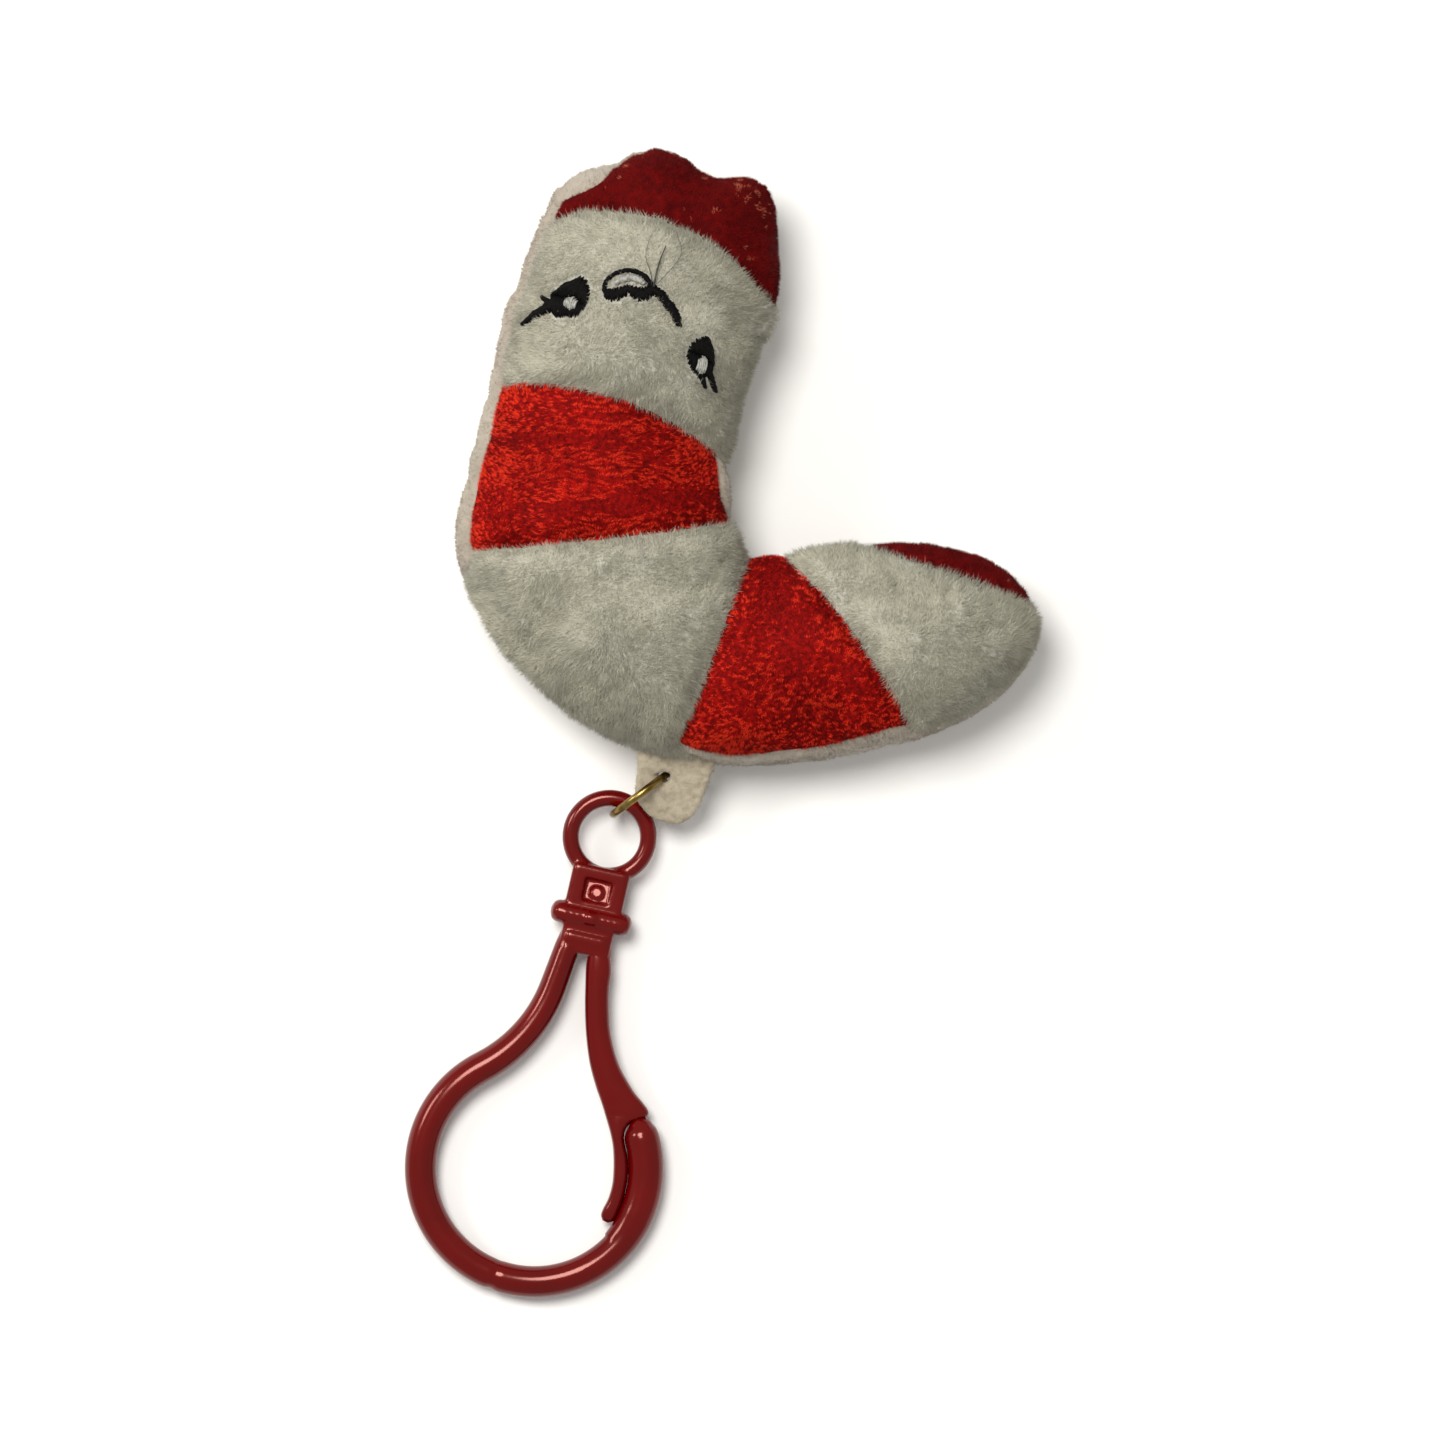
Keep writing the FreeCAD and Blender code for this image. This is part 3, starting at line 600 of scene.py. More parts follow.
def thread(a, b, rise, gen):
    """One stitch from a to b over the cloth, with its ends pulled down into it."""
    pts = []
    for t in np.linspace(0, 1, 7):
        x, y = a + (b - a) * t
        hit, normal = on_face(x, y)
        pts.append(hit + normal * (rise * math.sin(math.pi * t) ** 0.45 - SUNK))
    size = THREAD * np.array([0.55, 0.9, 1.0, 1.0, 1.0, 0.9, 0.55]) * gen.uniform(0.9, 1.12)
    return {"path": pts, "wide": size, "tall": size * 0.8, "sides": 6}


def stitches(name, parts, look, node_names):
    """A piece of the plush from several tubes, each a dict of tube()'s arguments."""
    verts, faces, count = [], [], 0
    for part in parts:
        v, f = tube(start=count, **part)
        verts.append(v)
        faces += f
        count += len(v)
    piece(name, smooth(mesh_of(name, np.concatenate(verts), faces)), look, "plush", node_names)


made = {"black": [], "pale": []}
gen = np.random.default_rng(7)
for node, colour, slant, rows in STROKES:
    middle_of = centre_of(node)
    line_pts = catmull(rows, 24) * MM
    run = np.concatenate([[0], np.cumsum(np.linalg.norm(np.diff(line_pts[:, :2], axis=0), axis=1))])
    for at in np.arange(0, run[-1], STEP):
        x, y, half = (np.interp(at, run, line_pts[:, i]) for i in range(3))
        ahead = np.array([np.interp(min(at + AHEAD, run[-1]), run, line_pts[:, i])
                          - np.interp(max(at - AHEAD, 0), run, line_pts[:, i]) for i in range(2)])
        turn = math.atan2(ahead[1], ahead[0]) + math.radians(slant + gen.normal() * WOBBLE)
        way = np.array([math.cos(turn), math.sin(turn)]) * half / max(math.sin(math.radians(slant)), 0.5)
        mid = np.array([x, y]) + middle_of[:2]
        jitter = gen.uniform(0.85, 1.2, 2)
        made[colour].append(thread(mid - way * jitter[0], mid + way * jitter[1], RISE, gen))
        stitched.append((*mid, half + STROKE_CLEAR))
for node, slant, outline in FILLS:
    shape = catmull(outline + outline[:1], 8) * MM
    way = np.array([math.cos(math.radians(slant)), math.sin(math.radians(slant))])
    side_way = np.array([way[1], -way[0]])
    off, run = shape @ side_way, shape @ way
    for at in np.arange(off.min() + 0.5 * STEP, off.max(), STEP):
        crossed = np.nonzero((off[:-1] - at) * (off[1:] - at) < 0)[0]
        ends = np.sort([run[i] + (run[i + 1] - run[i]) * (at - off[i]) / (off[i + 1] - off[i])
                        for i in crossed])
        if len(ends) < 2:
            continue
        jitter = gen.uniform(-0.12, 0.16, 2) * MM
        low_end, high_end = ends[0] - jitter[0], ends[-1] + jitter[1]
        half_way = (low_end + high_end) / 2
        mid = centre_of(node)[:2] + side_way * at
        for low_part, high_part in ((low_end, half_way), (half_way, high_end)):
            made["black"].append(thread(mid + way * (low_part - OVERLAP), mid + way * (high_part + OVERLAP),
                                        RISE, gen))
        for t in np.linspace(low_end, high_end, 8):
            stitched.append((*(mid + way * t), FILL_CLEAR))
for node, dx, dy, half_x, half_y, slant in GLINTS:
    mid = centre_of(node)[:2] + np.array([dx, dy]) * MM
    turn = math.radians(slant)
    for off in np.arange(-half_x, half_x + 0.01, GLINT_STEP):
        tall = half_y * math.sqrt(max(1 - (off / (half_x + 0.15)) ** 2, 0.1)) * gen.uniform(0.85, 1.1)
        at = mid + np.array([off * math.sin(turn), -off * math.cos(turn)]) * MM
        way = np.array([math.cos(turn), math.sin(turn)]) * tall * MM
        made["pale"].append(thread(at - way, at + way, GLINT_RISE, gen))
    stitched.append((*mid, max(half_x, half_y) * MM))
stitches("face_stitches_black", made["black"],
         mixed_material("black_thread", (0.0008, 0.0008, 0.0008), (0.004, 0.0035, 0.0035), 0.3 * MM, 0.7,
                        specular=0.1, bump=0.03 * MM, bump_scale=0.08 * MM),
         ["nose_arc", "nose_fill", "mouth_stitch", "left_eye", "right_eye", "left_lash", "right_lashes"])
stitches("face_stitches_pale", made["pale"],
         mixed_material("pale_thread", (0.20, 0.20, 0.18), (0.42, 0.42, 0.38), 0.3 * MM, 0.4,
                        specular=0.4, bump=0.03 * MM, bump_scale=0.08 * MM),
         ["left_eye_glint", "right_eye_glint", "nose_crescent"])

# loose ends of thread lying on the pile above the nose: half width in mm, then X and Y from the nose's middle
LOOSE_ENDS = [(0.13, [(2.5, 0.6), (2.7, 1.7), (3.1, 3.2), (3.75, 4.9)]),
              (0.05, [(2.3, 0.8), (2.2, 2.2), (1.75, 3.9), (2.3, 6.0)]),
              (0.04, [(2.9, 0.9), (4.2, 2.4), (5.3, 4.0), (5.0, 5.4), (4.3, 6.3)])]
LOOSE_RISE, LOOSE_WAVE = 0.75, 0.12     # how high they lie over the cloth, and how much they wave, in mm
start_at = centre_of("nose_fill")[:2]
loose = []
for thick, rows in LOOSE_ENDS:
    pts = []
    for i, (x, y) in enumerate(catmull(rows, 6)):
        hit, normal = on_face(start_at[0] + x * MM, start_at[1] + y * MM)
        pts.append(hit + normal * (LOOSE_RISE + LOOSE_WAVE * math.sin(i * 1.3)) * MM)
    loose.append({"path": pts, "wide": np.linspace(thick, 0.4 * thick, len(pts)) * MM, "sides": 5})
stitches("loose_thread_ends", loose,
         mixed_material("grey_thread", (0.012, 0.012, 0.011), (0.07, 0.065, 0.06), 1.5 * MM, 0.6),
         ["loose_threads"])
stitched = np.array(stitched)


def gap_to_stitches(place):
    """How far each point is from the nearest stitching, less than 0 inside it."""
    d = np.linalg.norm(place[:, None, :2] - stitched[None, :, :2], axis=2) - stitched[None, :, 2]
    return d.min(axis=1)


# ---------------- pile

def sampled(points, normals, faces, density, seed):
    """Random points on the faces: their places, their normals and one corner of the face of each."""
    quads = np.array([f if len(f) == 4 else f + (f[-1],) for f in faces])
    a, b, c, d = (points[quads[:, i]] for i in range(4))
    area = 0.5 * np.linalg.norm(np.cross(c - a, d - b), axis=1)
    gen = np.random.default_rng(seed)
    count = int(area.sum() * density)
    pick = gen.choice(len(quads), count, p=area / area.sum())
    u, v = gen.random(count)[:, None], gen.random(count)[:, None]
    w = [(1 - u) * (1 - v), u * (1 - v), u * v, (1 - u) * v]
    place = sum(w[i] * points[quads[pick, i]] for i in range(4))
    normal = unit(sum(w[i] * normals[quads[pick, i]] for i in range(4)))
    return place, normal, quads[pick, 0]


UPRIGHT = 0.75                      # the normal's share in a fibre's direction, beside its lean
ROOTED = 0.1 * MM                   # how far a fibre starts below the cloth
FLOOR_TOUCH = 0.01 * MM             # the lowest that a fibre reaches


def fibres(name, look, slot, place, normal, lean, length, radius, gen):
    """A piece of the plush: thin three-sided fibres, each from its root to its tip."""
    count = len(place)
    way = unit(normal * UPRIGHT + lean)
    other = unit(np.cross(way, gen.normal(size=(count, 3))))
    third = np.cross(way, other)
    root = place - normal * ROOTED
    corners = [root + radius * (math.cos(t) * other + math.sin(t) * third)
               for t in (0, 2 * math.pi / 3, 4 * math.pi / 3)]
    tip = root + way * length[:, None]
    verts = np.stack(corners + [tip], axis=1).reshape(-1, 3)
    verts[:, 2] = np.maximum(verts[:, 2], FLOOR_TOUCH)
    first = np.arange(count)[:, None] * 4
    faces = np.concatenate([first + np.array([[i, (i + 1) % 3, 3]]) for i in range(3)], axis=0)
    piece(name, smooth(mesh_of(name, verts, faces)), look, "plush")


TONES = {
    "white_pile": [(0.565, 0.55, 0.44), (0.46, 0.445, 0.355), (0.35, 0.335, 0.26)],
    "back_fabric": [(0.47, 0.415, 0.34), (0.39, 0.335, 0.27), (0.30, 0.25, 0.195)],
    # the knit's bright first tone is a painted sheen on its wave crests
    "red_knit": [(0.78, 0.038, 0.012), (0.37, 0.002, 0.001), (0.13, 0.0, 0.0)],
    "dark_red_pile": [(0.17, 0.001, 0.001), (0.12, 0.0, 0.0005), (0.08, 0.0, 0.0), (0.42, 0.10, 0.06)],
}
# fibres to the square metre
DENSITY = {"face_panel": 62e6, "heel_panel": 62e6, "toe_panel": 62e6, "back_panel": 24e6,
           "neck_band": 95e6, "foot_band": 95e6, "head_cap": 60e6, "toe_patch": 60e6}
# each pile's length and half width at the root in mm, how flat it lies and how untidy it is
PILE = {"white_pile": (0.92, 0.044, 1.0, 0.28), "back_fabric": (0.42, 0.055, 1.8, 0.28),
        "red_knit": (0.45, 0.038, 0.9, 0.12), "dark_red_pile": (0.45, 0.045, 0.9, 0.28)}
# how large the knit's stitches are along and across, in mm
STITCH_SIZE = {"neck_band": (1.3, 0.26), "foot_band": (0.62, 0.34)}
# darker rows of the bands, partly the knit's own rows and partly painted shade on the neck band's right part: (X,
# Y, half length, half width) in mm from the middle of the band's box
DARK_ROWS_AND_SHADE = {"neck_band": [(-6.0, 3.0, 8.0, 0.55), (8.0, -3.1, 6.5, 1.1), (-3.0, -4.3, 9.0, 0.4),
                           (3.5, 5.4, 5.0, 0.4)],
             "foot_band": [(-2.4, 6.8, 2.4, 2.6), (0.5, 1.5, 2.2, 3.0)]}
ROW_BOW = {"neck_band": 0.012, "foot_band": 0.0}    # how much the rows bow down towards their ends, per mm
# where the cap is lighter, partly worn and partly a painted highlight where its fibres catch the light: (X, Y,
# radius) in mm from its high X and high Y
WORN_AND_LIT_SPOTS = [(-2.7, -5.2, 1.3), (-1.6, -7.3, 0.8), (-6.6, -7.4, 0.5), (-14.0, -1.7, 0.7), (-11.2, -1.5, 0.7),
              (-4.4, -3.8, 1.1), (-7.5, -3.6, 0.6), (-1.0, -8.9, 0.5)]
ROW_DARKENING, SPOT_WEIGHT, WORN_AND_LIT_FROM = 0.85, 0.55, 0.72
FLOW, FLOW_WEIGHT = 5 * MM, 0.9     # the size of the swirls that the pile lies in
WAVE_TONES, SHADE_TONES = [-0.20, 0.12], [-0.35, 0.75]      # where one tone ends and the next begins
PAINTED_SHADE_REACH = 0.55 * MM                  # how far from the stitches the pile gets painted shade
FRINGE = 1.4 * MM                   # how far from a border the white pile leans over it
FRINGE_LEAN, FRINGE_UNTIDY, FRINGE_LONGER = (0.1, 1.4), 0.35, 0.15
WARP, WAVE, BROAD_WAVE, TALLER = 0.28 * MM, 1.35, 0.45, 0.3     # how wavy the knit is, and how tall its waves
ROW_RIPPLE, TONE_JITTER = 0.25, 0.10
SHADE_JITTER, SHADE_NOISE = 0.75, 1.1
toward_front = co[front][near_front] - co
groups = {}
for k, name in enumerate(NAMES):
    kind = PANELS[name]
    fibre_length, _, lie, untidy = PILE[kind]
    gen = np.random.default_rng(100 + k)
    place, normal, corner = sampled(co, n, panel_faces[k], DENSITY[name], 200 + k)
    if name == "face_panel":
        gap = gap_to_stitches(place)
        free = gap > 0
        place, normal, corner, gap = place[free], normal[free], corner[free], gap[free]
    flow = np.stack([noise_at(place, FLOW, s) for s in (11, 12, 13)], axis=1)
    lean = (flow * FLOW_WEIGHT + gen.normal(size=place.shape) * untidy) * lie
    if kind == "white_pile":
        fringe = fall(d_front[corner], FRINGE)[:, None]
        lean += fringe * (unit(toward_front[corner]) * gen.uniform(*FRINGE_LEAN, (len(place), 1))
                          + gen.normal(size=place.shape) * FRINGE_UNTIDY)
    length = fibre_length * MM * (0.65 + 0.6 * gen.random(len(place)))
    if kind == "white_pile":
        length *= 1 + FRINGE_LONGER * fringe[:, 0]
    if kind == "red_knit":
        long, thin = STITCH_SIZE[name]
        warp = np.stack([noise_at(place, MM, 21), noise_at(place, MM, 22), np.zeros(len(place))], axis=1)
        wave = noise_at(place + warp * WARP, (long * MM, thin * MM, thin * MM), 23) * WAVE
        wave += BROAD_WAVE * noise_at(place, (9 * MM, 3 * MM, 9 * MM), 24)
        x, y = ((place[:, :2] - centre_of(name)[:2]) / MM).T
        # the listed rows are darkened: partly the knit's own rows, partly painted shade
        for row_x, row_y, row_half, row_wide in DARK_ROWS_AND_SHADE[name]:
            bowed = y - row_y + ROW_BOW[name] * (x - row_x) ** 2 + ROW_RIPPLE * np.sin(x * 1.1)
            wave -= ROW_DARKENING * fall(bowed, row_wide) * fall(x - row_x, row_half)
        # painted sheen: fibres on the knit's wave crests take the bright tone, those in its troughs the dark one
        tone = np.clip(np.digitize(-wave + gen.normal(size=len(place)) * TONE_JITTER, WAVE_TONES), 0, 2)
        length *= 1.0 + TALLER * np.clip(wave, -1, 1)
    else:
        shade = gen.normal(size=len(place)) * SHADE_JITTER + noise_at(place, 1.2 * MM, 25) * SHADE_NOISE
        tone = np.clip(np.digitize(-shade, SHADE_TONES), 0, 2)
    if name == "face_panel":            # painted shade round the stitches, where the cloth would be drawn in: many fibres there take the darkest tone
        tone[(gap < PAINTED_SHADE_REACH) & (gen.random(len(place)) < 0.6)] = 2
    if kind == "dark_red_pile":
        # lighter fibres on the cap, partly wear and partly painted highlight: they take the light orange fourth
        # tone
        worn_and_lit = noise_at(place, 0.7 * MM, 26) + 0.7 * noise_at(place, 4 * MM, 27)
        for spot_x, spot_y, spot_size in WORN_AND_LIT_SPOTS:
            off = place[:, :2] - np.array([cap_high[0] + spot_x * MM, cap_high[1] + spot_y * MM])
            worn_and_lit += SPOT_WEIGHT * fall(np.linalg.norm(off, axis=1), spot_size * MM)
        tone[worn_and_lit > WORN_AND_LIT_FROM] = 3
    for t in range(len(TONES[kind])):
        m = tone == t
        groups.setdefault((kind, t), []).append((place[m], normal[m], lean[m], length[m]))
for (kind, t), parts in groups.items():
    sheen, specular = (0.0, 0.12) if "red" in kind else (0.15, 0.2)
    look = fibre_material(f"{kind}_tone_{t}", TONES[kind][t], sheen, specular)
    fibres(f"{kind}_fibres_{t}", look, kind, *(np.concatenate(x) for x in zip(*parts)),
           PILE[kind][1] * MM, np.random.default_rng(300 + t))


# ---------------- felt tab

TAB_PUFF, TAB_VOXEL = 0.15 * MM, 0.2 * MM
FUZZ_TONES = [(0.47, 0.41, 0.31), (0.33, 0.275, 0.20)]
FUZZ_DENSITY, FUZZ_LENGTH, FUZZ_RADIUS, FUZZ_LEAN = 28e6, 0.32 * MM, 0.035 * MM, 1.1
FUZZ_CLEAR = 0.45 * MM              # kept bare beside the ring's wire
tab = remeshed(joined(["hanging_tab"]), TAB_VOXEL, 14)
tab_co = points_of(tab)
tab_mid = tab_co.mean(axis=0)
tab_axes = np.linalg.svd(tab_co - tab_mid, full_matrices=False)[2]
tab_up = tab_axes[2] * np.sign(tab_axes[2][2])
tab_co += normals_of(tab) * TAB_PUFF
joints = {j["name"]: j for j in frame["joints"]}
hole = np.array(joints["ring_swing"]["pos_m"])

# the tab narrows towards its lower right corner
TAB_RIGHT, TAB_TRIM = 5.4 * MM, 1.0 * MM        # how far the right edge lies from the hole, what is cut off
HOLE_RADIUS, HOLE_CLOSED, HOLE_DENT = 1.4 * MM, 0.6 * MM, 0.35 * MM
lower = np.clip((hole[1] + 2.2 * MM - tab_co[:, 1]) / (5 * MM), 0, 1)
rightward = np.clip((tab_co[:, 0] - hole[0]) / TAB_RIGHT, 0, 1)
tab_co[:, 0] -= TAB_TRIM * lower ** 2 * (3 - 2 * lower) * rightward
set_points(tab, tab_co)
flat = (tab_co - hole) - np.outer((tab_co - hole) @ tab_up, tab_up)
from_hole = np.linalg.norm(flat, axis=1)
tab_co -= unit(flat) * (HOLE_CLOSED * fall(from_hole - HOLE_RADIUS, 1.1 * MM))[:, None]
dent = HOLE_DENT * fall(from_hole - 0.6 * MM, 1.3 * MM)
tab_n = normals_of(tab)
tab_co += tab_n * (noise_at(tab_co, 2.2 * MM, 31) * 0.16 * MM + noise_at(tab_co, 0.6 * MM, 32) * 0.05 * MM
                   - dent * np.abs(tab_n @ tab_up))[:, None]

# the ring's wire, wherever the ring swings to, has pressed the felt clear
ring_co = points_of(nodes["jump_ring"].data)
ring_axes = np.linalg.svd(ring_co - ring_co.mean(axis=0), full_matrices=False)[2]
spread = ring_co @ ring_axes.T
ring_mid = (spread.min(axis=0) + spread.max(axis=0)) / 2 @ ring_axes
wire = (spread[:, 2].max() - spread[:, 2].min()) / 2
ring_radius = (spread[:, 0].max() - spread[:, 0].min()) / 2 - wire
RING_CLEAR = 0.1 * MM                # left between the wire and the felt


def from_wire(pts):
    """How far each point is from the middle of the ring's wire at its nearest, and the way from it."""
    best, way = np.full(len(pts), 1.0), np.zeros((len(pts), 3))
    for turned in np.linspace(*joints["ring_swing"]["range_deg"], 13):
        spin = np.array(Matrix.Rotation(math.radians(turned), 3, Vector(joints["ring_swing"]["axis"])))
        middle_at, axis = hole + spin @ (ring_mid - hole), spin @ ring_axes[2]
        in_plane = pts - middle_at - np.outer((pts - middle_at) @ axis, axis)
        off = pts - middle_at - unit(in_plane) * ring_radius
        d = np.linalg.norm(off, axis=1)
        way[d < best], best = (off / d[:, None])[d < best], np.minimum(best, d)
    return best, way


d_wire, way_out = from_wire(tab_co)
tab_co += way_out * np.clip(wire + RING_CLEAR - d_wire, 0, None)[:, None]
set_points(tab, tab_co)
felt = mixed_material("felt", (0.32, 0.27, 0.195), (0.46, 0.40, 0.30), 0.9 * MM, 0.95, sheen=0.2,
                      sheen_tint=(1, 0.95, 0.85), bump=0.12 * MM, bump_scale=0.18 * MM, low=0.3, high=0.6)
piece("felt_tab", smooth(tab), felt, "plush", ["hanging_tab"])
quads = [tuple(p.vertices) for p in tab.polygons]
place, normal, _ = sampled(tab_co, normals_of(tab), quads, FUZZ_DENSITY, 41)
free = from_wire(place)[0] > wire + FUZZ_CLEAR
place, normal = place[free], normal[free]
gen = np.random.default_rng(42)
for t, colour in enumerate(FUZZ_TONES):
    m = gen.random(len(place)) < 0.5 if t == 0 else ~m
    look = fibre_material(f"felt_tone_{t}", colour, sheen=0.3, specular=0.25)
    fibres(f"felt_fuzz_{t}", look, "felt", place[m], normal[m], gen.normal(size=(m.sum(), 3)) * FUZZ_LEAN,
           FUZZ_LENGTH * gen.uniform(0.6, 1.3, m.sum()), FUZZ_RADIUS, gen)


# ---------------- ring and hook

def glossy(name, dark, light, rough, scale, bump_scale, more):
    """A smooth hard material; more is what else its shader is given."""
    m = mixed_material(name, dark, light, scale, rough, detail=3.0, bump=0.02 * MM, bump_scale=bump_scale)
    set_inputs(m.node_tree.nodes["Principled BSDF"], more)
    return m


brass = glossy("brass", (0.15, 0.09, 0.02), (0.33, 0.235, 0.075), 0.28, 1.5 * MM, 0.5 * MM, {"Metallic": 1.0})
nodes["jump_ring"].data.materials.clear()
nodes["jump_ring"].data.materials.append(brass)
plastic = glossy("red_plastic", (0.098, 0.0, 0.0004), (0.122, 0.0002, 0.0008), 0.16, 6 * MM, 3 * MM,
                 {"Specular IOR Level": 0.6, "Specular Tint": (1.0, 0.5, 0.44, 1)})

# the hook's own axes: the eye's middle is their origin and the loop hangs along -Y
hook_z = unit(np.array(joints["gate_flex"]["axis"], float))
loop_at = np.array(next(m for m in frame["record"]["mounts"] if m["name"] == "hook_loop")["pos_m"], float)
eye_at = centre_of("clip_eye")
hook_y = unit(eye_at - loop_at)
hook_x = unit(np.cross(hook_y, hook_z))
HOOK = np.stack([hook_x, hook_y, hook_z])


def to_row(pts):
    return eye_at + np.asarray(pts, float) * MM @ HOOK


def to_hook(pts):
    return (np.asarray(pts) - eye_at) @ HOOK.T / MM


def rounded_block(centre, half, bevel):
    """A block in the hook's axes, in mm: vertices in the row frame and faces."""
    bm = bmesh.new()
    bmesh.ops.create_cube(bm, size=2.0)
    for v in bm.verts:
        v.co = Vector([centre[i] + half[i] * v.co[i] for i in range(3)])
    bmesh.ops.bevel(bm, geom=bm.edges[:] + bm.verts[:], offset=bevel, segments=3, affect="EDGES", profile=0.5)
    verts = to_row([tuple(v.co) for v in bm.verts])
    faces = [tuple(v.index for v in f.verts) for f in bm.faces]
    bm.free()
    return verts, faces


HOOK_VOXEL = 0.15 * MM
bm = joined(["clip_eye", "clip_loop"])
BAR_AT = -8.85
bar_x = np.array([-4.4, -4.15, -3.7, -3.1, 0, 3.1, 3.7, 4.15, 4.4])
bar_r = np.array([0.35, 0.95, 1.2, 1.25, 1.25, 1.25, 1.2, 0.95, 0.35])
LOOP_AT, NOSE_RADIUS, NOSE_HALF, NOSE_START, NOSE_END = 36.3, 11.93, 1.9, -30, 28.5     # mm and degrees
dome = np.radians([20, 40, 60, 75, 86])         # the nose's end is round
nose_turn = np.concatenate([np.radians(np.linspace(NOSE_START, NOSE_END, 24)),
                            math.radians(NOSE_END) + NOSE_HALF / NOSE_RADIUS * np.sin(dome)])
nose_wide = NOSE_HALF * np.concatenate([np.linspace(0.88, 1, 8), np.ones(16), np.cos(dome)])
nose_path = np.column_stack([NOSE_RADIUS * np.cos(nose_turn), NOSE_RADIUS * np.sin(nose_turn) - LOOP_AT,
                             np.full(len(nose_turn), 0.05)])


def hook_tube(pts, wide, tall, sides):
    return tube(to_row(pts), np.asarray(wide) * MM, np.asarray(tall) * MM, sides=sides, up=hook_z)


nose = hook_tube(nose_path, nose_wide, nose_wide * 0.93, 28)
neck = [rounded_block((0, -6.0, 0), (3.1, 2.7, 1.2), 0.45),
        rounded_block((0, -11.1, 0), (2.75, 1.75, 1.15), 0.4)]
rib = rounded_block((0, -11.4, 0.15), (2.2, 0.75, 1.25), 0.3)
crossbar = hook_tube([(x, BAR_AT, 0.1) for x in bar_x], bar_r, bar_r * 1.3, 24)
button = hook_tube([(x, BAR_AT, 1.2) for x in (-0.5, 0, 0.5)], 0.75, 0.75, 16)
arm_roots = [hook_tube([(1.55, -10.6, 0), (1.7, -11.6, 0), (1.78, -12.6, 0), (1.84, -13.2, 0)],
                       [1.15, 1.25, 1.3, 1.25], 1.15, 20),
             hook_tube([(-1.45, -10.2, 0), (-1.6, -11.2, 0), (-1.75, -12.2, 0), (-1.9, -13.2, 0)],
                       [1.15, 1.3, 1.38, 1.35], [1.1, 1.2, 1.3, 1.35], 20)]
for verts, faces in [nose, *neck, rib, crossbar, button, *arm_roots]:
    new = [bm.verts.new(v) for v in verts]
    for f in faces:
        bm.faces.new([new[i] for i in f])
hook = bpy.data.meshes.new("hook")
bm.to_mesh(hook)
bm.free()
hook = with_modifier(hook, "REMESH", mode="VOXEL", voxel_size=HOOK_VOXEL)
hook = with_modifier(hook, "SMOOTH", factor=0.5, iterations=8)
local = to_hook(points_of(hook))
hook_n = normals_of(hook) @ HOOK.T


def step_in(x, low, high, soft):
    """1 between low and high and 0 beyond, with soft edges."""
    return 1 / (1 + np.exp(-(x - low) / soft)) * 1 / (1 + np.exp((x - high) / soft))


# in mm: the pocket in the neck with its raised disc, the groove below it, and the loop's gate mark
DISC_AT, DISC_RADIUS, DISC_HIGH, POCKET_DEEP, GROOVE_DEEP = 6.1, 0.7, 0.3, 0.55, 0.14
SCAR_AT, SCAR_WIDE, SCAR_DEEP = -97.5, 0.45, 0.16       # degrees round the loop, mm and mm
LOOP_MIDDLE, LOOP_OUTSIDE = 12.15, 14.5
top = np.clip(hook_n[:, 2], 0, 1) ** 0.5 * (local[:, 2] > 0.3)
pocket = step_in(local[:, 0], -1.45, 1.45, 0.07) * step_in(local[:, 1], -7.15, -4.75, 0.07)
disc = 1 / (1 + np.exp((np.hypot(local[:, 0], local[:, 1] + DISC_AT) - DISC_RADIUS) / 0.07))
POCKET_SLOPE = (-0.13, 0.14)        # how much deeper the pocket's floor gets per mm along X and Y
floor_slope = POCKET_SLOPE[0] * local[:, 0] + POCKET_SLOPE[1] * (local[:, 1] + 5.95)
groove = step_in(local[:, 1], -12.15, -11.65, 0.08) * step_in(local[:, 0], -2.0, 2.0, 0.1)
local[:, 2] -= top * (pocket * (POCKET_DEEP + floor_slope - DISC_HIGH * disc) + GROOVE_DEEP * groove)
away = local - np.array([0, -LOOP_AT, 0])
turn = np.degrees(np.arctan2(away[:, 1], away[:, 0]))
ridge = unit(away[:, :2])
scar = fall(np.radians(turn - SCAR_AT) * LOOP_MIDDLE, SCAR_WIDE)
scar *= np.hypot(away[:, 0], away[:, 1]) < LOOP_OUTSIDE
local[:, :2] -= ridge * (scar * SCAR_DEEP * np.clip((hook_n[:, :2] * ridge).sum(axis=1), -0.3, 1))[:, None]
local[:, 2] -= scar * 0.10 * top
set_points(hook, to_row(local))
piece("hook_body", smooth(hook), plastic, "clip", ["clip_eye", "clip_neck", "clip_loop"])

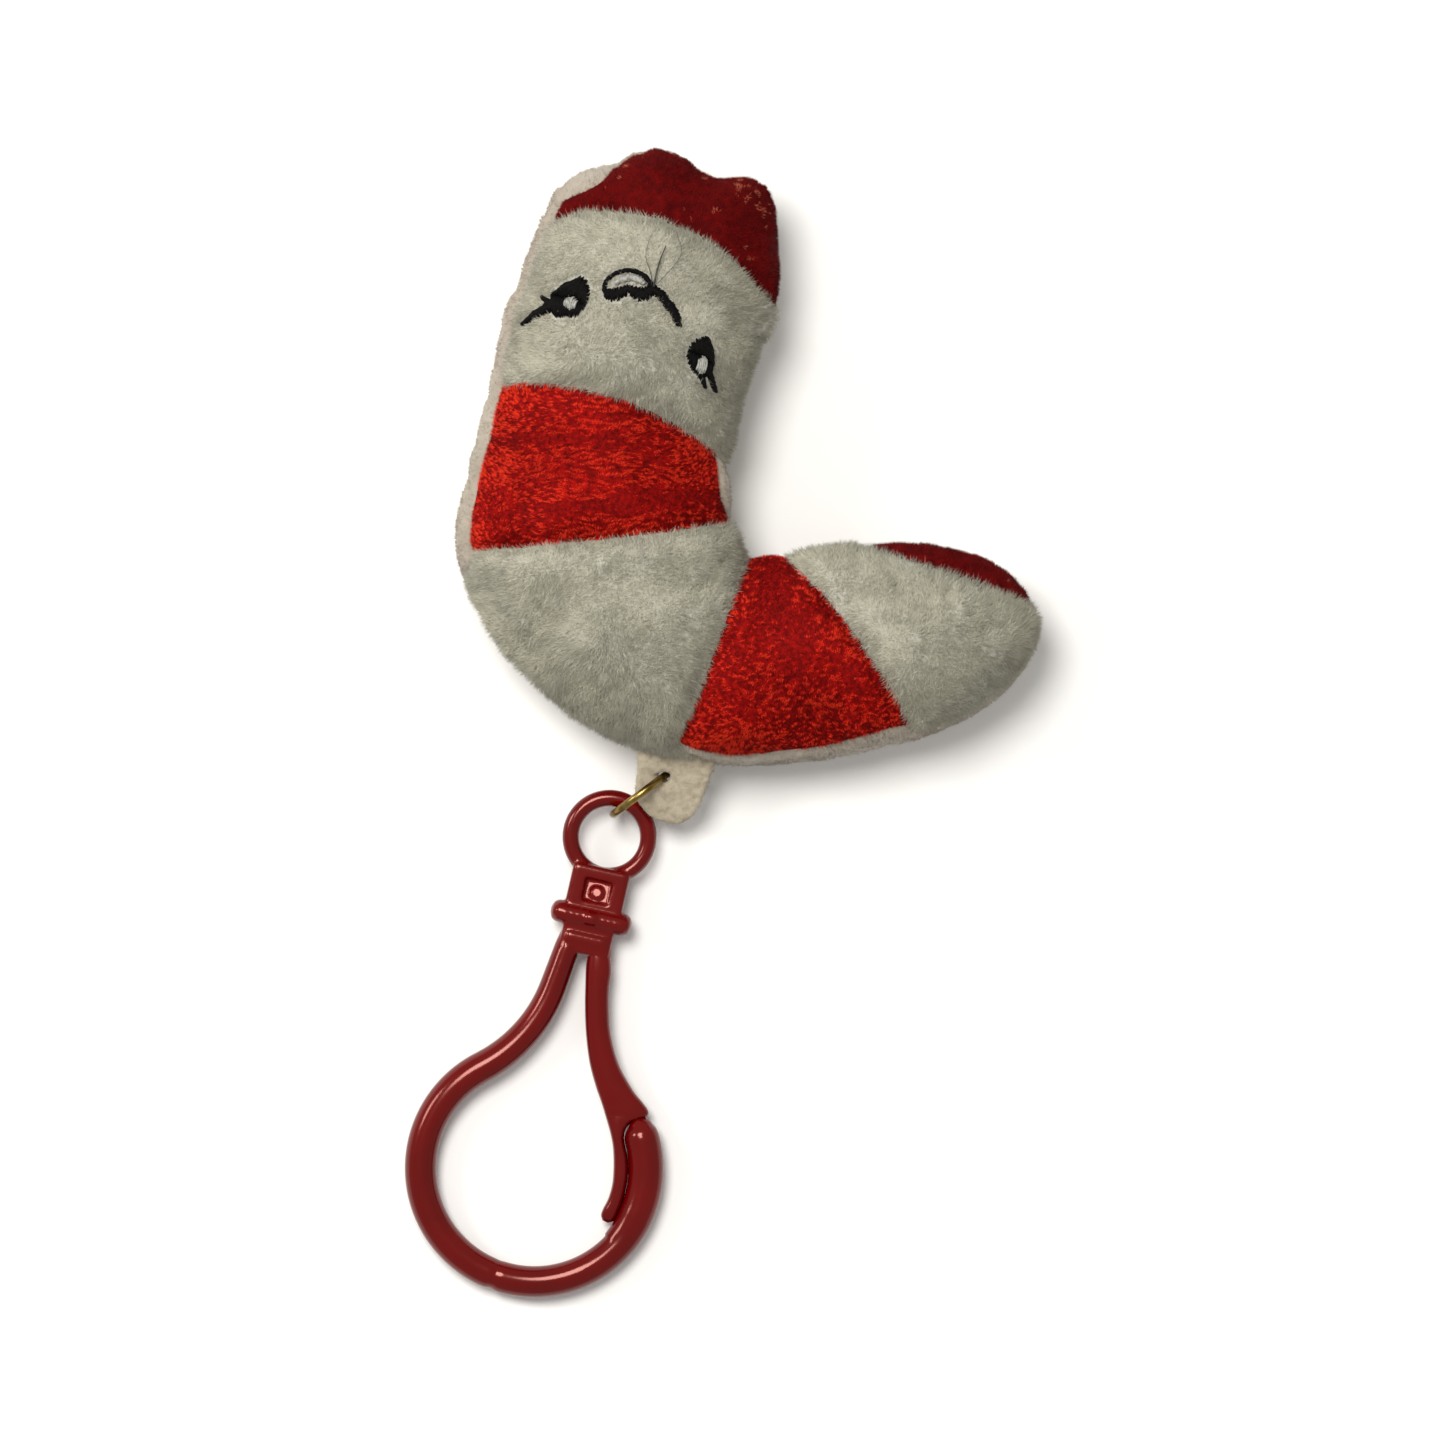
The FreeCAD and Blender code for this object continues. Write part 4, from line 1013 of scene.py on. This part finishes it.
# The gate as (inner X, inner Y, outer X, outer Y, half thickness): it flares out over the nose's end, and
# below that its lip lies inside the nose.
GATE = [(0.42, -11.9, 2.7, -11.8, 1.05), (0.5, -13.0, 3.1, -12.9, 1.15), (0.62, -14.2, 3.42, -14.1, 1.2),
        (0.95, -15.9, 3.6, -15.9, 1.2), (1.45, -18.3, 4.05, -18.0, 1.2), (2.2, -21.1, 4.8, -20.5, 1.15),
        (3.25, -24.0, 6.3, -23.4, 1.15), (4.45, -26.3, 8.35, -25.75, 1.15), (5.2, -27.5, 9.7, -26.85, 1.1),
        (5.8, -28.5, 10.5, -27.6, 1.05), (6.05, -28.95, 10.55, -28.15, 1.0), (6.25, -29.3, 9.9, -28.62, 1.0),
        (6.5, -29.75, 9.1, -29.15, 1.0), (6.85, -30.4, 8.62, -30.0, 1.0), (7.2, -31.1, 8.6, -30.9, 1.0),
        (7.55, -31.9, 8.98, -31.9, 1.0), (7.9, -33.0, 9.48, -33.0, 1.0), (8.25, -34.5, 9.88, -34.5, 1.0),
        (8.48, -36.1, 10.02, -36.1, 1.0), (8.4, -37.7, 9.97, -37.7, 0.95), (8.1, -38.9, 9.75, -39.1, 0.9),
        (8.05, -39.6, 9.5, -39.9, 0.75), (8.3, -40.1, 9.0, -40.25, 0.35)]
GATE_SIDES, GATE_POWER = 36, 2.5


def band(rows):
    """A closed bar between an inner and an outer line: vertices and faces."""
    inner, outer = rows[:, 0:2], rows[:, 2:4]
    cx, sx = section(GATE_SIDES, GATE_POWER)
    rings = np.zeros((len(rows), GATE_SIDES, 3))
    rings[:, :, :2] = ((inner + outer) / 2)[:, None] + ((outer - inner) / 2)[:, None] * cx[None, :, None]
    rings[:, :, 2] = rows[:, 4:5] * sx[None]
    return rings.reshape(-1, 3), ring_faces(len(rows), GATE_SIDES)


gate_verts, gate_faces = band(catmull(GATE, 6))
gate_verts = to_row(gate_verts)
gate = link(bpy.data.objects.new("hook_gate", smooth(mesh_of("hook_gate", gate_verts, gate_faces))))
gate.data.materials.append(plastic)
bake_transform(gate)
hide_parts("clip_gate")


# ---------------- stage

def floor():
    bm = bmesh.new()
    bmesh.ops.create_grid(bm, x_segments=8, y_segments=8, size=1.5)
    me = bpy.data.meshes.new("floor")
    bm.to_mesh(me)
    bm.free()
    ob = link(bpy.data.objects.new("floor", me))
    me.materials.append(mixed_material("floor_paper", (0.93, 0.93, 0.93), (0.95, 0.95, 0.95), 0.2, 0.9,
                                       specular=0.1))


def lamp(name, place, energy, size, colour):
    """A round lamp that points at the row frame's origin."""
    data = bpy.data.lights.new(name, "AREA")
    data.energy, data.color = energy, colour
    data.shape, data.size = "DISK", size
    ob = link(bpy.data.objects.new(name, data))
    ob.location = place
    ob.rotation_euler = (-Vector(place)).to_track_quat("-Z", "Y").to_euler()


floor()
world = bpy.data.worlds.new("studio")
bpy.context.scene.world = world
world.use_nodes = True
set_inputs(world.node_tree.nodes["Background"], {"Color": (1.0, 0.985, 0.95, 1), "Strength": 0.48})
lamp("key_light", (-0.15, 0.22, 0.68), energy=4.2, size=0.32, colour=(1.0, 0.975, 0.93))
lamp("glint_light", (-0.55, 0.20, 0.42), energy=1.3, size=0.2, colour=(1.0, 0.97, 0.92))

FRAME_WIDTH = 0.15372       # how much the view takes in at the object's height
camera = bpy.data.cameras.new("camera")
camera_object = link(bpy.data.objects.new("camera", camera))
DISTANCE, OBJECT_HEIGHT, PICTURE_MIDDLE = 1.1, 0.006, (0.0001, 0.0)
camera.sensor_width = 36.0
camera.lens = camera.sensor_width * DISTANCE / FRAME_WIDTH
camera.clip_start, camera.clip_end = 0.05, 10
camera_object.location = (*PICTURE_MIDDLE, DISTANCE + OBJECT_HEIGHT)
bpy.context.scene.camera = camera_object
